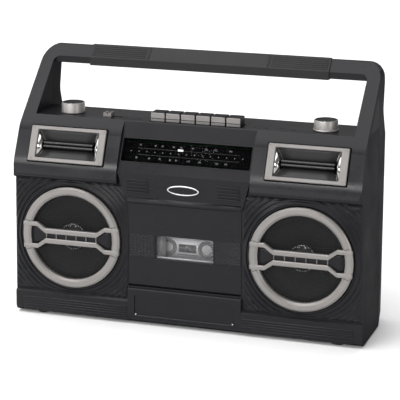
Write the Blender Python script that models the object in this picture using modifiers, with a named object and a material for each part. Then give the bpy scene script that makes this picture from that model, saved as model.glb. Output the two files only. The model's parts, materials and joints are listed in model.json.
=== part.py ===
"""Portable radio-cassette player with two speakers, built as an assembly of its real pieces.

All sizes below are in millimetres, and the helper functions turn them into metres. The object stands on its
feet at z = 0 with its front towards -Y and its longest side along X. A depth is counted backwards from the
lower front panel, and back(depth) gives its place on Y.
"""

import math

import bmesh
import bpy
from mathutils import Matrix, Vector

MM = 0.001
LEFT, RIGHT = -1, 1

# ---------------------------------------------------------------------------------------------------------
# Driving dimensions
# ---------------------------------------------------------------------------------------------------------

# Cabinet
WIDTH = 380.0
DEPTH = 108.0
SIDE_DRAFT = 0.0185
WALL = 2.5
GAP = 0.3
FOOT_HEIGHT = 1.5
HOOD_PROUD = 7.5
BASE_BAND_PROUD = 3.0
BASE_BAND_TOP = 24.5
LOWER_PANEL_TOP = 39.4
LOWER_RECESS_HALF = 54.7
LOWER_RECESS_LOW = 10.0
LOWER_RECESS_HIGH = 32.1
LOWER_RECESS_DEPTH = 1.2
HOOD_BOTTOM = 150.0
HOOD_NOSE_TOP = 165.0
HOOD_NOSE_RADIUS = 45.0
HOOD_TOP = 203.5
HOOD_TOP_DEPTH = 10.0
SHELF_Z = 213.5
SHELF_REAR_DEPTH = 70.0
LEDGE_Z = 194.0
LEDGE_FRONT_DEPTH = 84.0
PARTING_DEPTH = 66.0

# Handle
HANDLE_RISE = 64.5
HANDLE_TOP_DEPTH = 84.5
BAR_HEIGHT = 18.5
BAR_FRONT_DEPTH = 73.0
BAR_REAR_DEPTH = 91.0
BAR_PARTING_DEPTH = 84.0
UPRIGHT_WIDTH = 14.5
UPRIGHT_STUB = 1.0
GRIP_LENGTH = 262.0
GRIP_THICKNESS = 1.0

# Speakers
SPEAKER_FROM_SIDE = 65.3
SPEAKER_Z = 88.0
RING_RADIUS = 54.4
RING_FACE = 8.9
RING_HEIGHT = 4.2
SPEAKER_HOLE_RADIUS = 49.0
DRIVER_FLANGE_RADIUS = 51.5
DRIVER_DEPTH = 21.0
MAGNET_RADIUS = 26.0
MAGNET_LENGTH = 14.0
BAR_SPACING = 5.4
BAR_END_SPACING = 12.0
BAR_THICKNESS = 4.6
BAR_FLAT_HALF = 28.7
BAR_BEND_HALF = 38.0
BAR_TICKS = 6
TICK_PITCH = 11.5

# Tweeter bezels
TWEETER_FROM_SIDE = 61.2
TWEETER_Z = 186.0
TWEETER_WIDTH = 83.5
TWEETER_HEIGHT = 37.5
BEZEL_FACE = 5.0
BEZEL_PROUD = 0.6
BEZEL_THICKNESS = 3.0
HORN_DEPTH = 12.0

# Centre column, dial and badge
CENTRE_HALF_TOP = 71.5
CENTRE_HALF_BOTTOM = 62.0
CENTRE_TOP_Z = 164.0
CENTRE_PROUD_TOP = 5.0
CENTRE_PROUD_BOTTOM = 2.0
DIAL_TOP_DEPTH = 19.5
DIAL_WIDTH = 139.0
DIAL_HEIGHT = 24.7
DIAL_Z = 186.0
WINDOW_THICKNESS = 1.5
SCALE_SETBACK = 4.2
SCALE_THICKNESS = 1.0
POINTER_X = -7.3
POINTER_WIDTH = 6.7
BADGE_WIDTH = 34.0
BADGE_HEIGHT = 10.5
BADGE_Z = 149.6

# Controls on the shelf
KNOB_X = 137.3
KNOB_DEPTH = 40.0
KNOB_RADIUS = 12.3
KNOB_HEIGHT = 10.8
SHAFT_RADIUS = 3.0
SWITCH_X = -94.0
SWITCH_DEPTH = 32.0
SWITCH_TRAVEL = 9.0
KEY_NAMES = ("record", "play", "rewind", "fast_forward", "stop_eject", "pause")
KEY_ROW_X = 4.0
KEY_PITCH = 16.3
KEY_WIDTH = 15.1
KEY_FRONT_DEPTH = 24.0
KEY_LENGTH = 14.5
KEY_HEIGHT = 9.5
KEY_ROD_DEPTH = 52.0
KEY_ROD_Z = 205.5
KEY_ROD_RADIUS = 1.5

# Cassette deck
DOOR_WIDTH = 123.0
DOOR_BOTTOM = 41.8
DOOR_HEIGHT = 89.3
DOOR_THICKNESS = 3.0
DOOR_HINGE_Z = 45.0
DOOR_PIN_RADIUS = 1.3
DOOR_WINDOW_WIDTH = 63.0
DOOR_WINDOW_HEIGHT = 25.5
HUB_SPACING = 42.5
HUB_Z = 84.8
TAPE_WIDTH = 100.4
TAPE_HEIGHT = 63.8
TAPE_THICKNESS = 8.7
TAPE_DEPTH = 10.0
TAPE_EDGE_ABOVE_HUBS = 34.4
CHASSIS_DEPTH = 24.0
CHASSIS_THICKNESS = 1.5
CAPSTAN_X = 26.0
CAPSTAN_BELOW_EDGE = 5.2
CAPSTAN_RADIUS = 1.2
ROLLER_RADIUS = 4.5
BRIDGE_TRAVEL = 6.0
FLYWHEEL_RADIUS = 22.0
MOTOR_RADIUS = 15.0
MOTOR_X = -30.0
MOTOR_Z = 66.0
PULLEY_RADIUS = 5.0
BELT_RADIUS = 0.9

# Rear
ANTENNA_X = 160.0
ANTENNA_FROM_REAR = 5.3
ANTENNA_RISE = 7.0
ANTENNA_RADIUS = 3.0
ANTENNA_LENGTH = 250.0
ANTENNA_ROOM = 4.6
COVER_WIDTH = 160.0
COVER_HEIGHT = 60.0
COVER_BOTTOM = 24.0
COVER_THICKNESS = 2.0
INLET_X = 150.0
INLET_Z = 34.0
INLET_WIDTH = 22.0
INLET_HEIGHT = 14.0

# ---------------------------------------------------------------------------------------------------------
# Values worked out from them
# ---------------------------------------------------------------------------------------------------------

HEIGHT = SHELF_Z + HANDLE_RISE
FRONT = -DEPTH / 2 + HOOD_PROUD + BEZEL_PROUD
REAR = DEPTH / 2
REAR_DEPTH = REAR - FRONT
SPEAKER_X = WIDTH / 2 - SPEAKER_FROM_SIDE
TWEETER_X = WIDTH / 2 - TWEETER_FROM_SIDE
RING_INNER = RING_RADIUS - RING_FACE
HOOD_LEAN = math.atan2(HOOD_TOP_DEPTH + HOOD_PROUD, HOOD_TOP - HOOD_NOSE_TOP)
DIAL_LEAN = math.atan2(DIAL_TOP_DEPTH + CENTRE_PROUD_TOP, SHELF_Z - CENTRE_TOP_Z)
OPENING_TOP = HEIGHT - BAR_HEIGHT
HANDLE_SLOPE = (HEIGHT - HOOD_TOP) / (HANDLE_TOP_DEPTH - HOOD_TOP_DEPTH)
BAR_FACE_LOW = HEIGHT - (HANDLE_TOP_DEPTH - BAR_FRONT_DEPTH) * HANDLE_SLOPE
TAPE_TOP = HUB_Z + TAPE_EDGE_ABOVE_HUBS
CAPSTAN_Z = TAPE_TOP - CAPSTAN_BELOW_EDGE
ROLLER_Z = CAPSTAN_Z + CAPSTAN_RADIUS + ROLLER_RADIUS + BRIDGE_TRAVEL + GAP
ANTENNA_Z = LEDGE_Z + ANTENNA_RISE
ANTENNA_DEPTH = REAR_DEPTH - ANTENNA_FROM_REAR


def back(depth):
    """Place on Y of a depth counted from the lower front panel."""
    return FRONT + depth


def half_width(z):
    """Half the cabinet's width at a height: its sides lean in a little."""
    return WIDTH / 2 - SIDE_DRAFT * z


def hood_depth(z):
    """Depth of the hood's leaning face at a height."""
    return -HOOD_PROUD + (z - HOOD_NOSE_TOP) * math.tan(HOOD_LEAN)


def dial_depth(z):
    """Depth of the dial panel's leaning face at a height."""
    return -CENTRE_PROUD_TOP + (z - CENTRE_TOP_Z) * math.tan(DIAL_LEAN)


# ---------------------------------------------------------------------------------------------------------
# Scene, materials and modelling helpers
# ---------------------------------------------------------------------------------------------------------


def clear_scene():
    for obj in list(bpy.data.objects):
        bpy.data.objects.remove(obj, do_unlink=True)
    for mesh in list(bpy.data.meshes):
        bpy.data.meshes.remove(mesh)


def new_collection(name):
    collection = bpy.data.collections.new(name)
    bpy.context.scene.collection.children.link(collection)
    return collection


clear_scene()
PARTS = new_collection("cassette_player")
TOOLS = new_collection("cutters")

PALETTE = {
    "cabinet_black": ((0.035, 0.036, 0.038), 0.55, 0.0),
    "panel_black": ((0.022, 0.022, 0.024), 0.45, 0.0),
    "grip_black": ((0.03, 0.03, 0.031), 0.6, 0.0),
    "silver_plastic": ((0.46, 0.44, 0.42), 0.4, 0.6),
    "key_silver": ((0.52, 0.5, 0.48), 0.42, 0.5),
    "mesh_black": ((0.012, 0.012, 0.012), 0.5, 0.4),
    "cone_paper": ((0.02, 0.02, 0.02), 0.8, 0.0),
    "steel": ((0.55, 0.56, 0.57), 0.35, 1.0),
    "ferrite": ((0.07, 0.07, 0.075), 0.6, 0.2),
    "dial_glass": ((0.01, 0.01, 0.012), 0.08, 0.0),
    "scale_print": ((0.015, 0.015, 0.016), 0.5, 0.0),
    "pointer_white": ((0.85, 0.85, 0.83), 0.4, 0.0),
    "clear_plastic": ((0.3, 0.3, 0.31), 0.1, 0.0),
    "tape_shell": ((0.16, 0.16, 0.165), 0.4, 0.0),
    "reel_white": ((0.75, 0.74, 0.7), 0.45, 0.0),
    "rubber": ((0.02, 0.02, 0.02), 0.85, 0.0),
    "brass": ((0.65, 0.48, 0.2), 0.35, 1.0),
    "board_green": ((0.05, 0.16, 0.07), 0.5, 0.0),
    "chrome": ((0.75, 0.75, 0.76), 0.12, 1.0),
}


def finish(obj, name):
    """Gives an object its material and files it with the parts."""
    colour, roughness, metallic = PALETTE[name]
    material = bpy.data.materials.new(obj.name + "_" + name)
    material.use_nodes = True
    shader = material.node_tree.nodes["Principled BSDF"]
    shader.inputs["Base Color"].default_value = (*colour, 1.0)
    shader.inputs["Roughness"].default_value = roughness
    shader.inputs["Metallic"].default_value = metallic
    obj.data.materials.clear()
    obj.data.materials.append(material)
    return obj


def object_from(name, shape):
    """A part object that holds a bmesh, whose points are already in metres."""
    bmesh.ops.recalc_face_normals(shape, faces=shape.faces)
    mesh = bpy.data.meshes.new(name)
    shape.to_mesh(mesh)
    shape.free()
    obj = bpy.data.objects.new(name, mesh)
    PARTS.objects.link(obj)
    return obj


def box(name, x, y, z):
    """A box from three (low, high) pairs."""
    spans = [Vector((pair[0], pair[1])) * MM for pair in (x, y, z)]
    shape = bmesh.new()
    bmesh.ops.create_cube(shape, size=1.0)
    bmesh.ops.scale(shape, vec=[span[1] - span[0] for span in spans], verts=shape.verts)
    centre = [(span[0] + span[1]) / 2 for span in spans]
    bmesh.ops.translate(shape, vec=centre, verts=shape.verts)
    return object_from(name, shape)


def axis_frame(axis):
    """Rotation that carries +Z onto a row axis. Y_front carries it onto -Y, towards the front."""
    turns = {
        "X": Matrix.Rotation(math.pi / 2, 4, "Y"),
        "Y": Matrix.Rotation(-math.pi / 2, 4, "X"),
        "Y_front": Matrix.Rotation(math.pi / 2, 4, "X"),
        "Z": Matrix.Identity(4),
    }
    return turns[axis]


def cylinder(name, radius, centre, axis, span, sides=32):
    """A round bar about an axis. The centre gives the two other places, and span its two ends."""
    middle = dict(zip("XYZ", centre))
    middle[axis] = (span[0] + span[1]) / 2
    length = span[1] - span[0]
    shape = bmesh.new()
    bmesh.ops.create_cone(
        shape,
        cap_ends=True,
        segments=sides,
        radius1=radius * MM,
        radius2=radius * MM,
        depth=length * MM,
    )
    place = Matrix.Translation(Vector(middle.values()) * MM) @ axis_frame(axis)
    bmesh.ops.transform(shape, matrix=place, verts=shape.verts)
    return object_from(name, shape)


def turned(name, profile, centre, axis, steps=32):
    """A turned solid. The profile is (radius, place along the axis), from the high end to the low end."""
    shape = bmesh.new()
    points = [shape.verts.new((radius * MM, 0.0, along * MM)) for radius, along in profile]
    for first, second in zip(points, points[1:]):
        shape.edges.new((first, second))
    mesh = bpy.data.meshes.new(name)
    shape.to_mesh(mesh)
    shape.free()
    obj = bpy.data.objects.new(name, mesh)
    PARTS.objects.link(obj)
    screw = obj.modifiers.new("Turn", "SCREW")
    screw.axis = "Z"
    screw.steps = steps
    screw.render_steps = steps
    screw.use_merge_vertices = True
    screw.merge_threshold = 0.00001
    obj.matrix_world = Matrix.Translation(Vector(centre) * MM) @ axis_frame(axis)
    bpy.context.view_layer.update()
    return obj


def rounded(corners, segments=5):
    """Outline points from (u, v, radius) corners, with an arc at each corner that has a radius."""
    points = []
    count = len(corners)
    for i, (u, v, radius) in enumerate(corners):
        here = Vector((u, v))
        if radius == 0:
            points.append(here)
            continue
        to_last = (Vector(corners[i - 1][:2]) - here).normalized()
        to_next = (Vector(corners[(i + 1) % count][:2]) - here).normalized()
        half = to_last.angle(to_next) / 2
        start = here + to_last * (radius / math.tan(half))
        end = here + to_next * (radius / math.tan(half))
        centre = here + (to_last + to_next).normalized() * (radius / math.sin(half))
        for step in range(segments + 1):
            spoke = (start - centre).lerp(end - centre, step / segments)
            points.append(centre + spoke.normalized() * radius)
    return points


def rectangle(half_u, low_v, high_v, radius=0.0):
    """Corners of an upright rectangle about u = 0."""
    return [
        (-half_u, low_v, radius),
        (half_u, low_v, radius),
        (half_u, high_v, radius),
        (-half_u, high_v, radius),
    ]


def prism(name, outline, axis, span):
    """A flat outline given its thickness along an axis. Outlines are (y, z), (x, z) or (x, y) points."""
    curve = bpy.data.curves.new(name, "CURVE")
    curve.dimensions = "2D"
    curve.fill_mode = "BOTH"
    curve.extrude = (span[1] - span[0]) / 2 * MM
    spline = curve.splines.new("POLY")
    spline.points.add(len(outline) - 1)
    for point, (u, v) in zip(spline.points, outline):
        point.co = (u * MM, v * MM, 0.0, 1.0)
    spline.use_cyclic_u = True
    guide = bpy.data.objects.new(name + "_outline", curve)
    TOOLS.objects.link(guide)
    bpy.context.view_layer.update()
    graph = bpy.context.evaluated_depsgraph_get()
    mesh = bpy.data.meshes.new_from_object(guide.evaluated_get(graph))
    bpy.data.objects.remove(guide, do_unlink=True)
    shape = bmesh.new()
    shape.from_mesh(mesh)
    bpy.data.meshes.remove(mesh)
    bmesh.ops.remove_doubles(shape, verts=shape.verts, dist=1e-6)
    bmesh.ops.dissolve_limit(
        shape, angle_limit=1e-4, verts=shape.verts, edges=shape.edges, delimit=set()
    )
    middle = (span[0] + span[1]) / 2 * MM
    columns = {
        "X": Matrix(((0, 0, 1, middle), (1, 0, 0, 0), (0, 1, 0, 0), (0, 0, 0, 1))),
        "Y": Matrix(((1, 0, 0, 0), (0, 0, -1, middle), (0, 1, 0, 0), (0, 0, 0, 1))),
        "Z": Matrix(((1, 0, 0, 0), (0, 1, 0, 0), (0, 0, 1, middle), (0, 0, 0, 1))),
    }
    bmesh.ops.transform(shape, matrix=columns[axis], verts=shape.verts)
    return object_from(name, shape)


def wire(name, points, radius, sides_level=2):
    """A closed loop of round wire through points."""
    curve = bpy.data.curves.new(name, "CURVE")
    curve.dimensions = "3D"
    curve.bevel_depth = radius * MM
    curve.bevel_resolution = sides_level
    spline = curve.splines.new("POLY")
    spline.points.add(len(points) - 1)
    for point, place in zip(spline.points, points):
        point.co = (*(Vector(place) * MM), 1.0)
    spline.use_cyclic_u = True
    obj = bpy.data.objects.new(name, curve)
    PARTS.objects.link(obj)
    return obj


def boolean(target, tools, operation):
    for tool in tools:
        modifier = target.modifiers.new(operation.title() + " " + tool.name, "BOOLEAN")
        modifier.operation = operation
        modifier.solver = "EXACT"
        modifier.object = tool
        if tool.name in PARTS.objects:
            PARTS.objects.unlink(tool)
            TOOLS.objects.link(tool)
        tool.hide_render = True
        tool.display_type = "WIRE"
    return target


def cut(target, *tools):
    return boolean(target, tools, "DIFFERENCE")


def unite(target, *tools):
    return boolean(target, tools, "UNION")


def keep_inside(target, *tools):
    return boolean(target, tools, "INTERSECT")


def soften(obj, width, segments=2):
    bevel = obj.modifiers.new("Edges", "BEVEL")
    bevel.width = width * MM
    bevel.segments = segments
    bevel.limit_method = "ANGLE"
    return obj


def tilt(obj, lean, pivot):
    """Leans an object back about an X line through a (y, z) pivot. A live modifier's tools lean too."""
    place = Matrix.Translation(Vector((0.0, pivot[0], pivot[1])) * MM)
    obj.matrix_world = place @ Matrix.Rotation(-lean, 4, "X") @ place.inverted() @ obj.matrix_world
    for modifier in obj.modifiers:
        if modifier.type == "BOOLEAN":
            tilt(modifier.object, lean, pivot)
    return obj


def set_origin(obj, point):
    """Moves an object's origin to a point without moving its surface."""
    place = Vector(point) * MM
    bpy.context.view_layer.update()
    obj.data.transform(Matrix.Translation(-place) @ obj.matrix_world)
    obj.matrix_world = Matrix.Translation(place)
    return obj


# ---------------------------------------------------------------------------------------------------------
# Cabinet
# ---------------------------------------------------------------------------------------------------------


def side_outline():
    """Outer side view of the whole cabinet and its uprights, as (y, z)."""
    upright_waist = BAR_REAR_DEPTH - 6.0
    corners = [
        (back(-BASE_BAND_PROUD), FOOT_HEIGHT, 8.0),
        (back(PARTING_DEPTH + 3.0), FOOT_HEIGHT, 0.0),
        (back(REAR_DEPTH), FOOT_HEIGHT + 11.0, 3.0),
        (back(REAR_DEPTH), LEDGE_Z, 2.0),
        (back(BAR_REAR_DEPTH + 2.0), LEDGE_Z + 12.0, 6.0),
        (back(upright_waist), LEDGE_Z + 34.0, 20.0),
        (back(BAR_REAR_DEPTH), OPENING_TOP - 4.0, 12.0),
        (back(BAR_REAR_DEPTH), HEIGHT, 5.0),
        (back(HANDLE_TOP_DEPTH), HEIGHT, 2.0),
        (back(HOOD_TOP_DEPTH), HOOD_TOP, 30.0),
        (back(-HOOD_PROUD), HOOD_NOSE_TOP, HOOD_NOSE_RADIUS),
        (back(-HOOD_PROUD), HOOD_BOTTOM, 5.0),
        (back(0.0), HOOD_BOTTOM, 0.0),
        (back(0.0), BASE_BAND_TOP + 2.0, 0.0),
        (back(-BASE_BAND_PROUD), BASE_BAND_TOP, 0.0),
    ]
    return rounded(corners)


def front_outline():
    """Outer front view, as (x, z): the sides lean in and the handle's top corners are round."""
    corners = [
        (-half_width(0.0), -5.0, 0.0),
        (half_width(0.0), -5.0, 0.0),
        (half_width(HEIGHT), HEIGHT + 0.02, 17.0),
        (-half_width(HEIGHT), HEIGHT + 0.02, 17.0),
    ]
    return rounded(corners, 8)


def plan_outline():
    """Outer plan view, as (x, y): round front corners, and a rear half that narrows."""
    rear_half = WIDTH / 2 - 4.5
    corners = [
        (-WIDTH / 2 - 0.5, back(-HOOD_PROUD) - 0.02, 7.0),
        (WIDTH / 2 + 0.5, back(-HOOD_PROUD) - 0.02, 7.0),
        (WIDTH / 2 + 0.5, back(PARTING_DEPTH), 0.0),
        (rear_half, REAR + 0.02, 6.0),
        (-rear_half, REAR + 0.02, 6.0),
        (-WIDTH / 2 - 0.5, back(PARTING_DEPTH), 0.0),
    ]
    return rounded(corners)


def parting_outline(shift):
    """Everything in front of the line where the two cabinet halves meet, as (y, z)."""
    step_low = OPENING_TOP - 14.0
    step_high = OPENING_TOP
    return [
        (back(-60.0), -60.0),
        (back(PARTING_DEPTH) + shift, -60.0),
        (back(PARTING_DEPTH) + shift, step_low),
        (back(BAR_PARTING_DEPTH) + shift, step_high),
        (back(BAR_PARTING_DEPTH) + shift, HEIGHT + 60.0),
        (back(-60.0), HEIGHT + 60.0),
    ]


def handle_opening(name):
    """The space between the shelf, the uprights and the handle bar."""
    inner_half = half_width(SHELF_Z) - UPRIGHT_WIDTH
    side_view = [
        (back(-60.0), SHELF_Z),
        (back(SHELF_REAR_DEPTH), SHELF_Z),
        (back(LEDGE_FRONT_DEPTH), LEDGE_Z),
        (REAR + 30.0, LEDGE_Z),
        (REAR + 30.0, OPENING_TOP),
        (back(BAR_FRONT_DEPTH), OPENING_TOP),
        (back(BAR_FRONT_DEPTH), HEIGHT + 30.0),
        (back(-60.0), HEIGHT + 30.0),
    ]
    space = prism(name, side_view, "X", (-inner_half, inner_half))
    front_view = rounded(rectangle(inner_half + 1.0, LEDGE_Z - 9.0, BAR_FACE_LOW, 8.0))
    from_front = prism(name + "_front", front_view, "Y", (back(-70.0), REAR + 40.0))
    return keep_inside(space, from_front)


def cabinet_envelope(name):
    """The whole outer shape of the two cabinet halves together, with the handle."""
    reach = WIDTH / 2 + 5.0
    body = prism(name, side_outline(), "X", (-reach, reach))
    from_front = prism(name + "_from_front", front_outline(), "Y", (back(-30.0), REAR + 30.0))
    from_above = prism(name + "_from_above", plan_outline(), "Z", (-10.0, HEIGHT + 10.0))
    return keep_inside(body, from_front, from_above)


def cavity(name, side_view):
    """An inner space with a side view, one wall inside the cabinet's leaning sides."""
    low, high = -WALL, HEIGHT
    front_view = [
        (-half_width(low) + 2 * WALL, low),
        (half_width(low) - 2 * WALL, low),
        (half_width(high) - 2 * WALL, high),
        (-half_width(high) + 2 * WALL, high),
    ]
    space = prism(name, side_view, "X", (-WIDTH, WIDTH))
    return keep_inside(space, prism(name + "_front", front_view, "Y", (FRONT - 30.0, REAR + 30.0)))


def front_envelope(name):
    """What lies in front of the parting line, clear of the space under the handle."""
    body = cabinet_envelope(name)
    keep_inside(body, prism(name + "_half", parting_outline(0.0), "X", (-WIDTH, WIDTH)))
    return cut(body, handle_opening(name + "_opening"))


def handle_frame():
    """The handle bar and the front of both uprights, from just above the shelf."""
    body = front_envelope("handle_frame")
    below = (-HEIGHT, SHELF_Z + UPRIGHT_STUB + GAP)
    cut(body, box("below_handle", (-WIDTH, WIDTH), (FRONT - DEPTH, REAR + DEPTH), below))
    return finish(body, "cabinet_black")


def front_cabinet():
    body = front_envelope("front_cabinet")
    above = (SHELF_Z + UPRIGHT_STUB, 2 * HEIGHT)
    cut(body, box("above_stubs", (-WIDTH, WIDTH), (FRONT - DEPTH, REAR + DEPTH), above))
    cut(body, dial_clearing(), tilted_window_hole())
    unite(body, centre_block(), lower_panel())
    inner_side_view = [
        (back(WALL), FOOT_HEIGHT + WALL),
        (back(PARTING_DEPTH + 5.0), FOOT_HEIGHT + WALL),
        (back(PARTING_DEPTH + 5.0), SHELF_Z - WALL),
        (back(dial_depth(SHELF_Z) + 2 * WALL), SHELF_Z - WALL),
        (back(dial_depth(CENTRE_TOP_Z + 12.0) + 2 * WALL), CENTRE_TOP_Z + 12.0),
        (back(WALL), CENTRE_TOP_Z + 4.0),
    ]
    cut(body, cavity("front_cavity", inner_side_view))
    through = (back(-30.0), back(WALL + 10.0))
    across_shelf = (SHELF_Z - 10.0, SHELF_Z + 10.0)
    for side, label in ((LEFT, "left"), (RIGHT, "right")):
        centre = (side * SPEAKER_X, 0.0, SPEAKER_Z)
        cut(body, cylinder("speaker_hole_" + label, SPEAKER_HOLE_RADIUS, centre, "Y", through, 48))
        cut(body, tweeter_opening("tweeter_hole_" + label, side))
        shaft = (side * KNOB_X, back(KNOB_DEPTH), 0.0)
        cut(body, cylinder("knob_hole_" + label, SHAFT_RADIUS + 1.6, shaft, "Z", across_shelf, 24))
    well = (-DOOR_WIDTH / 2 - GAP, DOOR_WIDTH / 2 + GAP)
    cut(body, box("cassette_well", well, through, (DOOR_BOTTOM - GAP, DOOR_BOTTOM + DOOR_HEIGHT + GAP)))
    cut(body, box("lower_recess", (-LOWER_RECESS_HALF, LOWER_RECESS_HALF),
                  (back(-30.0), back(-BASE_BAND_PROUD + LOWER_RECESS_DEPTH)),
                  (LOWER_RECESS_LOW, LOWER_RECESS_HIGH)))
    key_half = KEY_PITCH * len(KEY_NAMES) / 2 + 0.4
    cut(body, box("key_slot", (KEY_ROW_X - key_half, KEY_ROW_X + key_half),
                  (back(KEY_FRONT_DEPTH - 2.4), back(KEY_FRONT_DEPTH + KEY_LENGTH + 1.5)), across_shelf))
    cut(body, box("switch_slot", (SWITCH_X - 2.6, SWITCH_X + 2.6 + SWITCH_TRAVEL),
                  (back(SWITCH_DEPTH - 1.8), back(SWITCH_DEPTH + 1.8)), across_shelf))
    for side, label in ((LEFT, "left"), (RIGHT, "right")):
        hinge_lug(body, side, label)
        rod_lug(body, side, label)
    return finish(body, "cabinet_black")


def hinge_lug(body, side, label):
    """A lug behind the front wall that holds one of the door's two pivots."""
    near, far = sorted((side * (DOOR_WIDTH / 2 + 1.2), side * (DOOR_WIDTH / 2 + 5.0)))
    unite(body, box("door_lug_" + label, (near, far), (back(WALL - 0.5), back(8.0)),
                    (DOOR_HINGE_Z - 4.0, DOOR_HINGE_Z + 4.0)))
    near, far = sorted((side * (DOOR_WIDTH / 2 - 1.0), side * (DOOR_WIDTH / 2 + 7.0)))
    cut(body, cylinder("door_lug_hole_" + label, DOOR_PIN_RADIUS + GAP,
                       (0.0, back(DOOR_THICKNESS), DOOR_HINGE_Z), "X", (near, far), 16))


def rod_lug(body, side, label):
    """A lug under the shelf that holds one end of the keys' pivot rod."""
    middle = KEY_ROW_X + side * (KEY_PITCH * len(KEY_NAMES) / 2 + 4.0)
    unite(body, box("rod_lug_" + label, (middle - 1.5, middle + 1.5),
                    (back(KEY_ROD_DEPTH - 4.0), back(KEY_ROD_DEPTH + 4.0)),
                    (KEY_ROD_Z - 4.0, SHELF_Z - WALL + 0.5)))
    rod = (0.0, back(KEY_ROD_DEPTH), KEY_ROD_Z)
    span = (middle - 5.0, middle + 5.0)
    cut(body, cylinder("rod_lug_hole_" + label, KEY_ROD_RADIUS + GAP, rod, "X", span, 16))


def dial_clearing():
    """Sets the middle of the hood back to the dial panel's flat leaning face."""
    side_view = [
        (back(-40.0), HOOD_BOTTOM - 2.0),
        (back(0.0), HOOD_BOTTOM - 2.0),
        (back(0.0), CENTRE_TOP_Z),
        (back(-CENTRE_PROUD_TOP), CENTRE_TOP_Z),
        (back(dial_depth(SHELF_Z + 10.0)), SHELF_Z + 10.0),
        (back(-40.0), SHELF_Z + 10.0),
    ]
    return prism("dial_clearing", side_view, "X", (-CENTRE_HALF_TOP, CENTRE_HALF_TOP))


def centre_block():
    """The badge panel between the door and the dial, narrower at its foot."""
    foot = DOOR_BOTTOM + DOOR_HEIGHT + 1.5
    side_view = [
        (back(1.0), foot),
        (back(0.0), foot),
        (back(-CENTRE_PROUD_BOTTOM), foot + 1.5),
        (back(-CENTRE_PROUD_BOTTOM), foot + 6.0),
        (back(-CENTRE_PROUD_TOP), CENTRE_TOP_Z - 1.0),
        (back(-CENTRE_PROUD_TOP), CENTRE_TOP_Z + 0.5),
        (back(1.0), CENTRE_TOP_Z + 0.5),
    ]
    front_view = [
        (-CENTRE_HALF_BOTTOM, foot - 1.0),
        (CENTRE_HALF_BOTTOM, foot - 1.0),
        (CENTRE_HALF_TOP - 0.02, CENTRE_TOP_Z + 1.0),
        (-CENTRE_HALF_TOP + 0.02, CENTRE_TOP_Z + 1.0),
    ]
    block = prism("centre_block", side_view, "X", (-CENTRE_HALF_TOP, CENTRE_HALF_TOP))
    return keep_inside(block, prism("centre_block_front", front_view, "Y", (back(-20.0), back(20.0))))


def lower_panel():
    """The panel under the door, as proud as the base band and taller."""
    side_view = [
        (back(1.0), BASE_BAND_TOP - 5.0),
        (back(-BASE_BAND_PROUD), BASE_BAND_TOP - 5.0),
        (back(-BASE_BAND_PROUD), LOWER_PANEL_TOP - 1.0),
        (back(-BASE_BAND_PROUD + 1.0), LOWER_PANEL_TOP),
        (back(1.0), LOWER_PANEL_TOP),
    ]
    return prism("lower_panel", side_view, "X", (-CENTRE_HALF_BOTTOM, CENTRE_HALF_BOTTOM))


def rear_cabinet():
    body = cabinet_envelope("rear_cabinet")
    cut(body, prism("rear_of_parting", parting_outline(GAP), "X", (-WIDTH, WIDTH)))
    cut(body, handle_opening("rear_opening"))
    inner_side_view = [
        (back(PARTING_DEPTH - 5.0), FOOT_HEIGHT + WALL),
        (back(PARTING_DEPTH + 3.0), FOOT_HEIGHT + WALL),
        (back(REAR_DEPTH - 2 * WALL), FOOT_HEIGHT + 11.0 + WALL),
        (back(REAR_DEPTH - 2 * WALL), LEDGE_Z - WALL),
        (back(LEDGE_FRONT_DEPTH - 3.0), LEDGE_Z - WALL),
        (back(SHELF_REAR_DEPTH - 1.5), SHELF_Z - WALL),
        (back(PARTING_DEPTH - 5.0), SHELF_Z - WALL),
    ]
    cut(body, cavity("rear_cavity", inner_side_view))
    half = COVER_WIDTH / 2 + GAP
    cut(body, box("cover_recess", (-half, half), (REAR - COVER_THICKNESS - GAP, REAR + 10.0),
                  (COVER_BOTTOM - GAP, COVER_BOTTOM + COVER_HEIGHT + GAP)))
    cut(body, box("inlet_hole", (INLET_X - INLET_WIDTH / 2, INLET_X + INLET_WIDTH / 2),
                  (REAR - 20.0, REAR + 10.0), (INLET_Z - INLET_HEIGHT / 2, INLET_Z + INLET_HEIGHT / 2)))
    cut(body, box("antenna_channel", (-WIDTH, ANTENNA_X - ANTENNA_LENGTH),
                  (back(ANTENNA_DEPTH - ANTENNA_ROOM), REAR + 10.0), (LEDGE_Z, ANTENNA_Z + ANTENNA_ROOM)))
    return finish(body, "cabinet_black")


def battery_cover():
    half = COVER_WIDTH / 2
    body = box("battery_cover", (-half, half), (REAR - COVER_THICKNESS, REAR),
               (COVER_BOTTOM, COVER_BOTTOM + COVER_HEIGHT))
    for offset in (-4.0, 0.0, 4.0):
        z = COVER_BOTTOM + COVER_HEIGHT - 11.0 + offset
        groove = "cover_groove_%d" % (offset + 5)
        cut(body, box(groove, (-14.0, 14.0), (REAR - 0.8, REAR + 1.0), (z - 0.8, z + 0.8)))
    return finish(set_origin(body, (0.0, REAR, COVER_BOTTOM)), "cabinet_black")


def foot(name, x, depth):
    """A low rubber foot under the cabinet's base."""
    body = cylinder(name, 7.0, (x, back(depth), 0.0), "Z", (0.0, FOOT_HEIGHT - GAP), 24)
    return finish(body, "rubber")


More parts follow.
